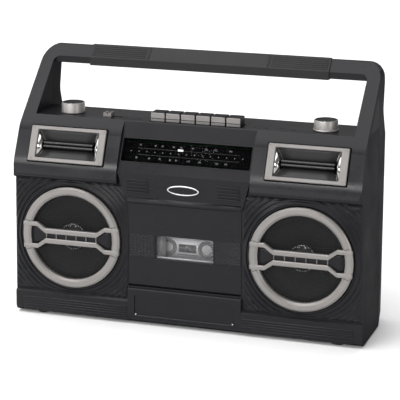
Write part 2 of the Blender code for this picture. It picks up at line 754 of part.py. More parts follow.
def handle_grip():
    """A sleeve round the handle bar, open along its rear where it snaps on."""
    def ring(out):
        return [
            (back(BAR_FRONT_DEPTH) - out, OPENING_TOP - out),
            (back(BAR_REAR_DEPTH - 6.0), OPENING_TOP - out),
            (back(BAR_REAR_DEPTH - 6.0), OPENING_TOP - GAP),
            (back(BAR_FRONT_DEPTH) - GAP, OPENING_TOP - GAP),
            (back(BAR_FRONT_DEPTH) - GAP, BAR_FACE_LOW + 0.12),
            (back(HANDLE_TOP_DEPTH) - 0.12, HEIGHT + GAP),
            (back(BAR_REAR_DEPTH - 6.0), HEIGHT + GAP),
            (back(BAR_REAR_DEPTH - 6.0), HEIGHT + out),
            (back(HANDLE_TOP_DEPTH) - 0.4 * out, HEIGHT + out),
            (back(BAR_FRONT_DEPTH) - out, BAR_FACE_LOW + 0.4 * out),
        ]

    half = GRIP_LENGTH / 2
    body = prism("handle_grip", ring(GAP + GRIP_THICKNESS), "X", (-half, half))
    return finish(body, "grip_black")


def badge():
    """A plain oval plate on the badge panel."""
    foot_z = DOOR_BOTTOM + DOOR_HEIGHT + 7.5
    lean = math.atan2(CENTRE_PROUD_TOP - CENTRE_PROUD_BOTTOM, CENTRE_TOP_Z - 1.0 - foot_z)
    depth = -CENTRE_PROUD_BOTTOM - (BADGE_Z - foot_z) * math.tan(lean)
    steps = 32
    outline = []
    for step in range(steps):
        angle = 2 * math.pi * step / steps
        across = BADGE_WIDTH / 2 * math.cos(angle)
        outline.append((across, BADGE_Z + BADGE_HEIGHT / 2 * math.sin(angle)))
    body = prism("badge", outline, "Y", (back(depth - GAP - 1.0), back(depth - GAP)))
    return finish(tilt(body, -lean, (back(depth), BADGE_Z)), "silver_plastic")


# ---------------------------------------------------------------------------------------------------------
# Speakers
# ---------------------------------------------------------------------------------------------------------


def speaker_ring(label, side):
    """The silver ring with its twin bars, which spread apart where they meet the ring."""
    x = side * SPEAKER_X
    low, high = back(-GAP - RING_HEIGHT), back(-GAP)
    centre = (x, 0.0, SPEAKER_Z)
    body = cylinder("speaker_ring_" + label, RING_RADIUS, centre, "Y", (low, high), 48)
    cut(body, cylinder("ring_hole_" + label, RING_INNER, centre, "Y", (low - 5.0, high + 5.0), 48))
    reach = RING_RADIUS - 2.0
    for sign, place in ((1, "upper"), (-1, "lower")):
        inner, outer = BAR_SPACING - BAR_THICKNESS / 2, BAR_SPACING + BAR_THICKNESS / 2
        spread = BAR_END_SPACING - BAR_SPACING
        lower_edge = [
            (-reach, inner + spread),
            (-BAR_BEND_HALF, inner + spread),
            (-BAR_FLAT_HALF, inner),
            (BAR_FLAT_HALF, inner),
            (BAR_BEND_HALF, inner + spread),
            (reach, inner + spread),
        ]
        upper_edge = [(u, v + outer - inner) for u, v in reversed(lower_edge)]
        outline = [(x + u, SPEAKER_Z + sign * v) for u, v in lower_edge + upper_edge]
        unite(body, prism("ring_bar_%s_%s" % (place, label), outline, "Y", (low - 1.2, high - 0.8)))
    for tick in range(BAR_TICKS):
        middle = x + (tick - (BAR_TICKS - 1) / 2) * TICK_PITCH
        bar_gap = (SPEAKER_Z - BAR_SPACING, SPEAKER_Z + BAR_SPACING)
        name = "ring_tick_%d_%s" % (tick, label)
        unite(body, box(name, (middle - 0.5, middle + 0.5), (low + 0.3, high - 1.0), bar_gap))
    return finish(body, "silver_plastic")


def speaker_grille(label, side):
    centre = (side * SPEAKER_X, 0.0, SPEAKER_Z)
    sheet = (back(0.9), back(1.9))
    body = cylinder("speaker_grille_" + label, SPEAKER_HOLE_RADIUS - 0.4, centre, "Y", sheet, 48)
    return finish(body, "mesh_black")


def driver(label, side):
    """One full-range driver: a steel basket, a paper cone with its coil, and the magnet behind."""
    x = side * SPEAKER_X
    flange = -(WALL + GAP)
    rear = flange - DRIVER_DEPTH
    neck = 15.0
    basket = [
        (DRIVER_FLANGE_RADIUS - 5.0, flange),
        (DRIVER_FLANGE_RADIUS, flange),
        (DRIVER_FLANGE_RADIUS, flange - 1.5),
        (DRIVER_FLANGE_RADIUS - 4.0, flange - 1.5),
        (MAGNET_RADIUS + 2.0, rear),
        (neck, rear),
        (neck, rear + 1.5),
        (MAGNET_RADIUS + 1.0, rear + 1.5),
        (DRIVER_FLANGE_RADIUS - 5.0, flange - 2.4),
        (DRIVER_FLANGE_RADIUS - 5.0, flange),
    ]
    frame = turned("driver_frame_" + label, basket, (x, FRONT, SPEAKER_Z), "Y_front")
    finish(frame, "steel")
    edge = DRIVER_FLANGE_RADIUS - 5.0 - GAP
    coil = neck - 2.0
    cone_profile = [
        (0.0, flange - 6.5),
        (coil * 0.6, flange - 7.6),
        (coil, flange - 10.5),
        (edge - 9.0, flange - 2.6),
        (edge - 5.0, flange - 0.2),
        (edge - 1.5, flange - 0.9),
        (edge, flange - 0.9),
        (edge, flange - 1.7),
        (edge - 1.8, flange - 1.8),
        (edge - 5.0, flange - 1.2),
        (edge - 8.0, flange - 3.8),
        (coil + 0.8, flange - 12.0),
        (coil + 0.8, rear + 3.0),
        (coil, rear + 3.0),
        (coil, flange - 11.8),
        (coil * 0.6, flange - 8.6),
        (0.0, flange - 7.5),
    ]
    cone = turned("driver_cone_" + label, cone_profile, (x, FRONT, SPEAKER_Z), "Y_front")
    finish(cone, "cone_paper")
    behind = rear - GAP
    magnet_profile = [
        (0.0, rear + 6.0),
        (coil - 2.0, rear + 6.0),
        (coil - 2.0, behind),
        (MAGNET_RADIUS, behind),
        (MAGNET_RADIUS, behind - MAGNET_LENGTH),
        (0.0, behind - MAGNET_LENGTH),
    ]
    magnet = turned("driver_magnet_" + label, magnet_profile, (x, FRONT, SPEAKER_Z), "Y_front")
    finish(magnet, "ferrite")


def tweeter_pivot():
    """The (y, z) centre of a tweeter bezel on the hood's leaning face."""
    return back(hood_depth(TWEETER_Z)), TWEETER_Z


def tweeter_opening(name, side):
    """The hole that a bezel's horn passes through, before it leans with the hood."""
    half_wide = TWEETER_WIDTH / 2 - 1.5
    half_high = TWEETER_HEIGHT / 2 - 1.5
    y, z = tweeter_pivot()
    x = side * TWEETER_X
    hole = box(name, (x - half_wide, x + half_wide), (y - 20.0, y + 24.0), (z - half_high, z + half_high))
    return tilt(hole, HOOD_LEAN, (y, z))


def tweeter_bezel(label, side):
    y, z = tweeter_pivot()
    x = side * TWEETER_X
    half_wide, half_high = TWEETER_WIDTH / 2, TWEETER_HEIGHT / 2
    outline = [(x + u, v) for u, v in rounded(rectangle(half_wide, z - half_high, z + half_high, 1.5), 2)]
    face = y - 2.6
    body = prism("tweeter_bezel_" + label, outline, "Y", (face, face + 1.6))
    hole_half = half_high - BEZEL_FACE
    hole = rounded(rectangle(half_wide - BEZEL_FACE, z - hole_half, z + hole_half, 3.0), 3)
    inner = [(x + u, v) for u, v in hole]
    tongue = rectangle(half_wide - 2.0, z - half_high + 2.0, z + half_high - 2.0)
    tongue_outline = [(x + u, v) for u, v, _ in tongue]
    tongue_span = (face + 1.0, face + 1.6 + BEZEL_THICKNESS)
    unite(body, prism("bezel_tongue_" + label, tongue_outline, "Y", tongue_span))
    cut(body, prism("bezel_hole_" + label, inner, "Y", (face - 5.0, face + 12.0)))
    return finish(tilt(body, HOOD_LEAN, (y, z)), "silver_plastic")


def tweeter_horn(label, side):
    """The horn behind a bezel: a tray with two sloping throats and a bar between them."""
    y, z = tweeter_pivot()
    x = side * TWEETER_X
    half_wide, half_high = TWEETER_WIDTH / 2 - 2.0, TWEETER_HEIGHT / 2 - 2.0
    front = y - 2.6 + 1.6 + BEZEL_THICKNESS + GAP
    body = box("tweeter_horn_" + label, (x - half_wide, x + half_wide), (front, front + HORN_DEPTH),
               (z - half_high, z + half_high))
    for sign, place in ((1, "upper"), (-1, "lower")):
        near, far = 2.0, half_high - 3.0
        floor = front + HORN_DEPTH - 3.0
        side_view = [
            (front - 1.0, z + sign * near),
            (front - 1.0, z + sign * far),
            (floor, z + sign * (near + 5.0)),
            (floor, z + sign * near),
        ]
        reach = (x - half_wide + 7.0, x + half_wide - 7.0)
        cut(body, prism("horn_throat_%s_%s" % (place, label), side_view, "X", reach))
    return finish(tilt(body, HOOD_LEAN, (y, z)), "panel_black")


# ---------------------------------------------------------------------------------------------------------
# Radio dial
# ---------------------------------------------------------------------------------------------------------


def dial_pivot():
    return back(dial_depth(DIAL_Z)), DIAL_Z


def dial_plate(name, width, height, setback, thickness):
    """A plate that lies behind the dial panel's face, leaning with it."""
    y, z = dial_pivot()
    across, through = (-width / 2, width / 2), (y + setback, y + setback + thickness)
    plate = box(name, across, through, (z - height / 2, z + height / 2))
    return tilt(plate, DIAL_LEAN, (y, z))


def tilted_window_hole():
    return dial_plate("window_hole", DIAL_WIDTH, DIAL_HEIGHT, -10.0, 30.0)


def dial_window():
    width, height = DIAL_WIDTH - 2 * GAP, DIAL_HEIGHT - 2 * GAP
    body = dial_plate("dial_window", width, height, 0.2, WINDOW_THICKNESS)
    return finish(body, "dial_glass")


def dial_scale():
    body = dial_plate("dial_scale", DIAL_WIDTH - 4.0, DIAL_HEIGHT - 4.0, SCALE_SETBACK, SCALE_THICKNESS)
    return finish(body, "scale_print")


def dial_pointer():
    """A white flag on a stem, which runs along the dial between the window and the scale."""
    y, z = dial_pivot()
    front = y + 0.2 + WINDOW_THICKNESS + 0.5
    rear = y + SCALE_SETBACK - 0.5
    half = POINTER_WIDTH / 2
    body = box("dial_pointer", (POINTER_X - half, POINTER_X + half), (front, rear), (z + 1.4, z + 4.0))
    stem = box("pointer_stem", (POINTER_X - 0.6, POINTER_X + 0.6), (front, rear), (z - 8.5, z + 9.0))
    unite(body, stem)
    tilt(body, DIAL_LEAN, (y, z))
    return finish(set_origin(body, (POINTER_X, y, z)), "pointer_white")


# ---------------------------------------------------------------------------------------------------------
# Controls on the shelf
# ---------------------------------------------------------------------------------------------------------


def knob(name, side, flange):
    """A turned knob and its shaft, on an upright axis."""
    base = SHELF_Z + GAP
    top = base + KNOB_HEIGHT
    bottom = SHELF_Z - WALL - 8.0
    foot_radius = KNOB_RADIUS + flange
    profile = [
        (0.0, top - 0.4),
        (KNOB_RADIUS - 2.0, top - 0.4),
        (KNOB_RADIUS - 1.2, top),
        (KNOB_RADIUS - 0.4, top - 0.4),
        (KNOB_RADIUS, top - 1.4),
        (KNOB_RADIUS, base + 2.0),
        (foot_radius, base + 1.2),
        (foot_radius, base),
        (SHAFT_RADIUS, base),
        (SHAFT_RADIUS, bottom),
        (0.0, bottom),
    ]
    centre = (side * KNOB_X, back(KNOB_DEPTH), 0.0)
    return finish(turned(name, profile, centre, "Z"), "key_silver")


def control_body(name, side, half, height):
    """The potentiometer or tuning capacitor that a knob's shaft turns in."""
    x = side * KNOB_X
    y = back(KNOB_DEPTH)
    top = SHELF_Z - WALL - GAP
    body = box(name, (x - half, x + half), (y - half, y + half), (top - height, top))
    bush_span = (top - 1.0, SHELF_Z - 0.2)
    unite(body, cylinder(name + "_bush", SHAFT_RADIUS + 1.3, (x, y, 0.0), "Z", bush_span, 24))
    cut(body, cylinder(name + "_bore", SHAFT_RADIUS + GAP, (x, y, 0.0), "Z",
                       (SHELF_Z - WALL - 8.0 - GAP, SHELF_Z + 5.0), 24))
    return finish(body, "steel")


def function_switch():
    """The slide switch's cap, with its stem through the shelf."""
    y = back(SWITCH_DEPTH)
    body = box("function_switch", (SWITCH_X - 4.3, SWITCH_X + 4.3), (y - 5.0, y + 5.0),
               (SHELF_Z + GAP, SHELF_Z + GAP + 4.2))
    notch = [(SWITCH_X - 2.2, SHELF_Z + 6.0), (SWITCH_X + 2.2, SHELF_Z + 6.0), (SWITCH_X, SHELF_Z + 2.6)]
    cut(body, prism("switch_notch", notch, "Y", (y - 10.0, y + 10.0)))
    unite(body, box("switch_stem", (SWITCH_X - 2.0, SWITCH_X + 2.0), (y - 1.2, y + 1.2),
                    (SHELF_Z - WALL - 2.5, SHELF_Z + 1.0)))
    return finish(set_origin(body, (SWITCH_X, y, SHELF_Z)), "key_silver")


def key(index, label):
    """One piano key: a cap in the shelf's slot and a lever back to the pivot rod."""
    x = KEY_ROW_X + (index - (len(KEY_NAMES) - 1) / 2) * KEY_PITCH
    half = KEY_WIDTH / 2
    front, rear = back(KEY_FRONT_DEPTH), back(KEY_FRONT_DEPTH + KEY_LENGTH)
    rod_y = back(KEY_ROD_DEPTH)
    cap_z = (KEY_ROD_Z + 0.5, SHELF_Z + KEY_HEIGHT)
    body = box("key_" + label, (x - half, x + half), (front, rear), cap_z)
    soften(body, 0.8)
    lever = [
        (rear - 2.0, KEY_ROD_Z + 0.8),
        (rear - 2.0, KEY_ROD_Z + 3.2),
        (rod_y, KEY_ROD_Z + 3.2),
        (rod_y + 3.2, KEY_ROD_Z),
        (rod_y, KEY_ROD_Z - 3.2),
        (rod_y - 3.2, KEY_ROD_Z),
    ]
    unite(body, prism("key_lever_" + label, lever, "X", (x - 3.0, x + 3.0)))
    cut(body, cylinder("key_bore_" + label, KEY_ROD_RADIUS + GAP, (0.0, rod_y, KEY_ROD_Z), "X",
                       (x - 8.0, x + 8.0), 16))
    return finish(set_origin(body, (x, rod_y, KEY_ROD_Z)), "key_silver")


def key_rod():
    half = KEY_PITCH * len(KEY_NAMES) / 2 + 6.5
    body = cylinder("key_rod", KEY_ROD_RADIUS, (0.0, back(KEY_ROD_DEPTH), KEY_ROD_Z), "X",
                    (KEY_ROW_X - half, KEY_ROW_X + half), 16)
    return finish(body, "steel")


# ---------------------------------------------------------------------------------------------------------
# Cassette door and cassette
# ---------------------------------------------------------------------------------------------------------


def cassette_door():
    """The door plate with its two pivots, and the pocket behind it that carries the cassette."""
    half = DOOR_WIDTH / 2
    top = DOOR_BOTTOM + DOOR_HEIGHT
    y = back(0.0)
    plate = [
        (y, DOOR_BOTTOM + 2.0),
        (y + 2.0, DOOR_BOTTOM),
        (y + DOOR_THICKNESS, DOOR_BOTTOM),
        (y + DOOR_THICKNESS, top),
        (y, top),
    ]
    body = prism("cassette_door", plate, "X", (-half, half))
    low, high = HUB_Z - DOOR_WINDOW_HEIGHT / 2 + 1.0, HUB_Z + DOOR_WINDOW_HEIGHT / 2 + 1.0
    window = rounded(rectangle(DOOR_WINDOW_WIDTH / 2, low, high, 2.0), 3)
    cut(body, prism("door_window_hole", window, "Y", (y - 5.0, y + 10.0)))
    tape_low = TAPE_TOP - TAPE_HEIGHT
    inner = TAPE_WIDTH / 2 + 0.6
    rear = back(TAPE_DEPTH + TAPE_THICKNESS + 1.2)
    across = (-inner - 1.5, inner + 1.5)
    unite(body, box("pocket_floor", across, (y + 2.0, rear), (tape_low - 2.0, tape_low - 0.6)))
    for side, label in ((LEFT, "left"), (RIGHT, "right")):
        near, far = sorted((side * inner, side * (inner + 1.5)))
        upright = (tape_low - 1.5, TAPE_TOP - 8.0)
        unite(body, box("pocket_side_" + label, (near, far), (y + 2.0, rear), upright))
        near, far = sorted((side * (half - 4.0), side * (half + 4.2)))
        pivot = (0.0, y + DOOR_THICKNESS, DOOR_HINGE_Z)
        unite(body, cylinder("door_pivot_" + label, DOOR_PIN_RADIUS, pivot, "X", (near, far), 16))
    return finish(set_origin(body, (0.0, back(DOOR_THICKNESS), DOOR_HINGE_Z)), "cabinet_black")


def door_window():
    low, high = HUB_Z - DOOR_WINDOW_HEIGHT / 2 + 1.0, HUB_Z + DOOR_WINDOW_HEIGHT / 2 + 1.0
    outline = rounded(rectangle(DOOR_WINDOW_WIDTH / 2 - GAP, low + GAP, high - GAP, 1.7), 3)
    body = prism("door_window", outline, "Y", (back(0.6), back(2.2)))
    return finish(body, "clear_plastic")


def cassette_shell():
    """The tape's shell, open edge upwards, with hub holes, a mouth for the head and one for the roller."""
    front, rear = back(TAPE_DEPTH), back(TAPE_DEPTH + TAPE_THICKNESS)
    half = TAPE_WIDTH / 2
    low = TAPE_TOP - TAPE_HEIGHT
    skin = 1.2
    body = box("cassette_shell", (-half, half), (front, rear), (low, TAPE_TOP))
    cut(body, box("tape_room", (-half + skin, half - skin), (front + skin, rear - skin),
                  (low + skin, TAPE_TOP - skin)))
    for side, label in ((LEFT, "left"), (RIGHT, "right")):
        hub = (side * HUB_SPACING / 2, 0.0, HUB_Z)
        cut(body, cylinder("tape_hub_hole_" + label, 5.4, hub, "Y", (front - 2.0, rear + 2.0), 20))
    mouth = (front + skin, rear + 2.0)
    cut(body, box("head_mouth", (-9.0, 9.0), mouth, (TAPE_TOP - 7.0, TAPE_TOP + 2.0)))
    across = (CAPSTAN_X - 7.0, CAPSTAN_X + 7.0)
    cut(body, box("roller_mouth", across, mouth, (CAPSTAN_Z - 4.0, TAPE_TOP + 2.0)))
    return finish(body, "tape_shell")


def tape_reel(label, side, pack_radius):
    """A hub with the tape wound on it. The left one is full and the right one is nearly empty."""
    front, rear = back(TAPE_DEPTH + 1.7), back(TAPE_DEPTH + TAPE_THICKNESS - 1.7)
    centre = (side * HUB_SPACING / 2, 0.0, HUB_Z)
    body = cylinder(label, pack_radius, centre, "Y", (front, rear), 32)
    cut(body, cylinder(label + "_bore", 4.6, centre, "Y", (front - 3.0, rear + 3.0), 20))
    return finish(set_origin(body, (centre[0], (front + rear) / 2, HUB_Z)), "reel_white")


# ---------------------------------------------------------------------------------------------------------
# Deck mechanism
# ---------------------------------------------------------------------------------------------------------


def deck_chassis():
    low, high = DOOR_BOTTOM + 2.0, DOOR_BOTTOM + DOOR_HEIGHT + 10.0
    front = back(CHASSIS_DEPTH)
    rear = front + CHASSIS_THICKNESS
    half = DOOR_WIDTH / 2 - 3.0
    body = box("deck_chassis", (-half, half), (front, rear), (low, high))
    for z, label in ((low, "low"), (high - CHASSIS_THICKNESS, "high")):
        fold = (z, z + CHASSIS_THICKNESS)
        unite(body, box("chassis_fold_" + label, (-half, half), (front + 0.5, rear + 10.0), fold))
    through = (front - 5.0, rear + 5.0)
    for side, label in ((LEFT, "left"), (RIGHT, "right")):
        hub = (side * HUB_SPACING / 2, 0.0, HUB_Z)
        cut(body, cylinder("spindle_hole_" + label, 2.6 + GAP, hub, "Y", through, 20))
    shaft = (CAPSTAN_X, 0.0, CAPSTAN_Z)
    cut(body, cylinder("capstan_hole", CAPSTAN_RADIUS + GAP, shaft, "Y", through, 16))
    return finish(body, "steel")


def spindle(name, side):
    """A reel spindle with its turntable in front of the chassis and its drive disc behind."""
    profile = [
        (0.0, -(TAPE_DEPTH + 1.2)),
        (1.4, -(TAPE_DEPTH + 1.4)),
        (2.6, -(TAPE_DEPTH + 2.6)),
        (2.6, -(CHASSIS_DEPTH - 2.6)),
        (9.0, -(CHASSIS_DEPTH - 2.6)),
        (9.0, -(CHASSIS_DEPTH - 0.6)),
        (2.6, -(CHASSIS_DEPTH - 0.6)),
        (2.6, -(CHASSIS_DEPTH + CHASSIS_THICKNESS + 0.6)),
        (11.0, -(CHASSIS_DEPTH + CHASSIS_THICKNESS + 0.6)),
        (11.0, -(CHASSIS_DEPTH + CHASSIS_THICKNESS + 3.0)),
        (0.0, -(CHASSIS_DEPTH + CHASSIS_THICKNESS + 3.0)),
    ]
    body = turned(name, profile, (side * HUB_SPACING / 2, FRONT, HUB_Z), "Y_front", 24)
    return finish(body, "panel_black")


def capstan():
    """The capstan shaft and its flywheel, whose rim carries the belt."""
    rim = CHASSIS_DEPTH + CHASSIS_THICKNESS + 6.5
    profile = [
        (0.0, -(TAPE_DEPTH + 1.5)),
        (CAPSTAN_RADIUS, -(TAPE_DEPTH + 1.7)),
        (CAPSTAN_RADIUS, -rim),
        (FLYWHEEL_RADIUS, -rim),
        (FLYWHEEL_RADIUS, -(rim + 3.5)),
        (3.0, -(rim + 3.5)),
        (3.0, -(rim + 5.5)),
        (0.0, -(rim + 5.5)),
    ]
    body = turned("capstan_flywheel", profile, (CAPSTAN_X, FRONT, CAPSTAN_Z), "Y_front", 32)
    return finish(body, "brass")


def motor():
    front = back(CHASSIS_DEPTH + CHASSIS_THICKNESS + 12.0)
    centre = (MOTOR_X, 0.0, MOTOR_Z)
    body = cylinder("drive_motor", MOTOR_RADIUS, centre, "Y", (front, front + 22.0), 28)
    unite(body, cylinder("motor_boss", 4.0, centre, "Y", (front - 1.2, front + 1.0), 20))
    return finish(body, "steel")


def belt_plane():
    """Depth of the middle of the flywheel's rim, which the belt and the pulley share."""
    return CHASSIS_DEPTH + CHASSIS_THICKNESS + 6.5 + 1.75


def motor_pulley():
    middle = belt_plane()
    profile = [
        (0.0, -(middle - 2.6)),
        (PULLEY_RADIUS, -(middle - 2.6)),
        (PULLEY_RADIUS, -(middle + 2.2)),
        (0.0, -(middle + 2.2)),
    ]
    body = turned("motor_pulley", profile, (MOTOR_X, FRONT, MOTOR_Z), "Y_front", 24)
    return finish(body, "brass")


def drive_belt():
    """A round belt along the outer tangents of the flywheel and the motor pulley."""
    clear = BELT_RADIUS + 0.25
    big, small = FLYWHEEL_RADIUS + clear, PULLEY_RADIUS + clear
    span = Vector((MOTOR_X - CAPSTAN_X, MOTOR_Z - CAPSTAN_Z))
    heading = math.atan2(span.y, span.x)
    wrap = math.acos((big - small) / span.length)
    points = []
    for centre, radius, start, sweep in (
        ((CAPSTAN_X, CAPSTAN_Z), big, heading + wrap, 2 * math.pi - 2 * wrap),
        ((MOTOR_X, MOTOR_Z), small, heading - wrap, 2 * wrap),
    ):
        steps = max(6, round(sweep * radius / 6.0))
        for step in range(steps + 1):
            angle = start + sweep * step / steps
            x = centre[0] + radius * math.cos(angle)
            points.append((x, back(belt_plane()), centre[1] + radius * math.sin(angle)))
    return finish(wire("drive_belt", points, BELT_RADIUS, 1), "rubber")


def head_bridge():
    """The plate that the play key pushes down, with the pin that the pinch roller turns on."""
    front = back(CHASSIS_DEPTH - 3.4)
    rear = front + 1.2
    low = TAPE_TOP + 2.3
    body = box("head_bridge", (-32.0, 34.0), (front, rear), (low, low + 12.0))
    pin = (CAPSTAN_X, 0.0, ROLLER_Z)
    unite(body, cylinder("roller_pin", 1.0, pin, "Y", (back(TAPE_DEPTH + 1.6), rear - 0.3), 16))
    return finish(set_origin(body, (0.0, front, low)), "steel")


def tape_head():
    """The magnetic head on its foot, in front of the bridge and above the cassette's mouth."""
    low = TAPE_TOP + 2.3
    plate = back(CHASSIS_DEPTH - 3.4) - GAP
    nose = (back(TAPE_DEPTH + 1.6), back(TAPE_DEPTH + 6.8))
    body = box("tape_head", (-6.0, 6.0), nose, (low, low + 9.0))
    soften(body, 0.6, 1)
    unite(body, box("head_foot", (-5.0, 5.0), (back(TAPE_DEPTH + 6.0), plate), (low + 4.0, low + 8.0)))
    return finish(body, "chrome")


def pinch_roller():
    front, rear = back(TAPE_DEPTH + 2.0), back(TAPE_DEPTH + 6.2)
    centre = (CAPSTAN_X, 0.0, ROLLER_Z)
    body = cylinder("pinch_roller", ROLLER_RADIUS, centre, "Y", (front, rear), 24)
    cut(body, cylinder("roller_bore", 1.0 + GAP, centre, "Y", (front - 2.0, rear + 2.0), 16))
    return finish(set_origin(body, (CAPSTAN_X, (front + rear) / 2, ROLLER_Z)), "rubber")


# ---------------------------------------------------------------------------------------------------------
# Electronics, power and antenna
# ---------------------------------------------------------------------------------------------------------


def main_board():
    rear = back(PARTING_DEPTH - 5.0)
    low = DOOR_BOTTOM + DOOR_HEIGHT + 14.0
    body = box("main_board", (-88.0, 88.0), (rear - 1.6, rear), (low, LEDGE_Z + 2.0))
    for index, x in enumerate((-70.0, -48.0, 52.0, 66.0)):
        centre = (x, 0.0, 160.0)
        unite(body, cylinder("capacitor_%d" % index, 5.0, centre, "Y", (rear - 14.0, rear - 0.8), 16))
    unite(body, box("amplifier_sink", (-20.0, 20.0), (rear - 12.0, rear - 0.8), (154.0, 170.0)))
    return finish(body, "board_green")


def transformer():
    """A mains transformer: a laminated core with its winding through it."""
    x, z = 110.0, 38.0
    front = back(PARTING_DEPTH - 4.0)
    body = box("mains_transformer", (x - 21.0, x + 21.0), (front, front + 14.0), (z - 18.0, z + 18.0))
    unite(body, box("winding", (x - 12.0, x + 12.0), (front - 6.0, front + 20.0), (z - 11.0, z + 11.0)))
    return finish(body, "steel")


def power_inlet():
    """A two-pin mains inlet in the rear wall."""
    half_wide, half_high = INLET_WIDTH / 2 - GAP, INLET_HEIGHT / 2 - GAP
    body = box("power_inlet", (INLET_X - half_wide, INLET_X + half_wide), (REAR - 14.0, REAR - 0.6),
               (INLET_Z - half_high, INLET_Z + half_high))
    pocket = rounded([(INLET_X - 8.6, INLET_Z - 4.2, 4.0), (INLET_X + 8.6, INLET_Z - 4.2, 4.0),
                      (INLET_X + 8.6, INLET_Z + 4.2, 4.0), (INLET_X - 8.6, INLET_Z + 4.2, 4.0)], 4)
    cut(body, prism("inlet_pocket", pocket, "Y", (REAR - 12.0, REAR + 5.0)))
    for side, label in ((LEFT, "left"), (RIGHT, "right")):
        unite(body, cylinder("inlet_pin_" + label, 1.2, (INLET_X + side * 4.0, 0.0, INLET_Z), "Y",
                             (REAR - 13.0, REAR - 3.0), 12))
    return finish(body, "panel_black")


def antenna_base():
    """The swivel foot on the rear ledge, with the tongue and pin that the antenna tilts on."""
    x, y = ANTENNA_X, back(ANTENNA_DEPTH)
    top = ANTENNA_Z - ANTENNA_RADIUS - 0.4 - GAP
    body = cylinder("antenna_base", 5.2, (x, y, 0.0), "Z", (LEDGE_Z + GAP, top), 24)
    unite(body, box("antenna_tongue", (x - 2.4, x + 2.4), (y - 0.9, y + 0.9), (top - 1.0, ANTENNA_Z + 2.2)))
    unite(body, cylinder("antenna_pin", 1.1, (x, 0.0, ANTENNA_Z), "Y", (y - 3.2, y + 3.2), 16))
    return finish(set_origin(body, (x, y, LEDGE_Z)), "chrome")


def antenna_tube():
    """The outer antenna section with the fork round the tongue. It lies along the ledge at rest."""
    x, y = ANTENNA_X, back(ANTENNA_DEPTH)
    far = x - ANTENNA_LENGTH
    tilt_pin = (x, 0.0, ANTENNA_Z)
    tube_line = (0.0, y, ANTENNA_Z)
    body = cylinder("antenna_tube", ANTENNA_RADIUS, tube_line, "X", (far, x - 3.0), 20)
    unite(body, cylinder("antenna_knuckle", ANTENNA_RADIUS + 0.4, tilt_pin, "Y", (y - 3.4, y + 3.4), 20))
    slot = (y - 0.9 - GAP, y + 0.9 + GAP)
    cut(body, box("fork_slot", (x - 6.2, x + 6.0), slot, (ANTENNA_Z - 8.0, ANTENNA_Z + 8.0)))
    cut(body, cylinder("fork_hole", 1.1 + GAP, tilt_pin, "Y", (y - 8.0, y + 8.0), 16))
    cut(body, cylinder("tube_bore", ANTENNA_RADIUS - 0.6, tube_line, "X", (far - 5.0, x - 40.0), 20))
    return finish(set_origin(body, (x, y, ANTENNA_Z)), "chrome")


def antenna_rod():
    """The inner section with its tip, pushed home in the tube."""
    y = back(ANTENNA_DEPTH)
    far = ANTENNA_X - ANTENNA_LENGTH
    line = (0.0, y, ANTENNA_Z)
    body = cylinder("antenna_rod", ANTENNA_RADIUS - 0.6 - GAP, line, "X", (far - 2.0, ANTENNA_X - 42.0), 16)
    unite(body, cylinder("antenna_tip", ANTENNA_RADIUS + 0.4, line, "X", (far - 6.0, far - 0.5), 20))
    return finish(set_origin(body, (far, y, ANTENNA_Z)), "chrome")


# ---------------------------------------------------------------------------------------------------------
# Assembly
# ---------------------------------------------------------------------------------------------------------


def build():
    front_cabinet()
    handle_frame()
    rear_cabinet()
    battery_cover()
    handle_grip()
    badge()
    foot_x = WIDTH / 2 - 28.0
    for side, label in ((LEFT, "left"), (RIGHT, "right")):
        foot("foot_front_" + label, side * foot_x, 10.0)
        foot("foot_rear_" + label, side * foot_x, PARTING_DEPTH - 9.0)
        speaker_ring(label, side)
        speaker_grille(label, side)
        driver(label, side)
        tweeter_bezel(label, side)
        tweeter_horn(label, side)
    dial_window()
    dial_scale()
    dial_pointer()
    knob("volume_knob", LEFT, 0.0)
    knob("tuning_knob", RIGHT, 0.9)
    control_body("volume_control", LEFT, 8.5, 10.0)
    control_body("tuning_capacitor", RIGHT, 11.0, 14.0)
    function_switch()
    for index, label in enumerate(KEY_NAMES):
        key(index, label)
    key_rod()
    cassette_door()
    door_window()
    cassette_shell()
    tape_reel("supply_reel", LEFT, 17.5)
    tape_reel("take_up_reel", RIGHT, 11.0)
    deck_chassis()
    spindle("supply_spindle", LEFT)
    spindle("take_up_spindle", RIGHT)
    capstan()
    motor()
    motor_pulley()
    drive_belt()
    head_bridge()
    tape_head()
    pinch_roller()
    main_board()
    transformer()
    power_inlet()
    antenna_base()
    antenna_tube()
    antenna_rod()


build()
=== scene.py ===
# %% [markdown]
# This notebook builds the looks of a portable radio-cassette player around its CAD frame. The frame holds
# every piece as a plain solid in its right place. Here each one gets the surface of the real thing: moulded
# black plastic, silver-painted trim, punched speaker mesh and a printed dial.

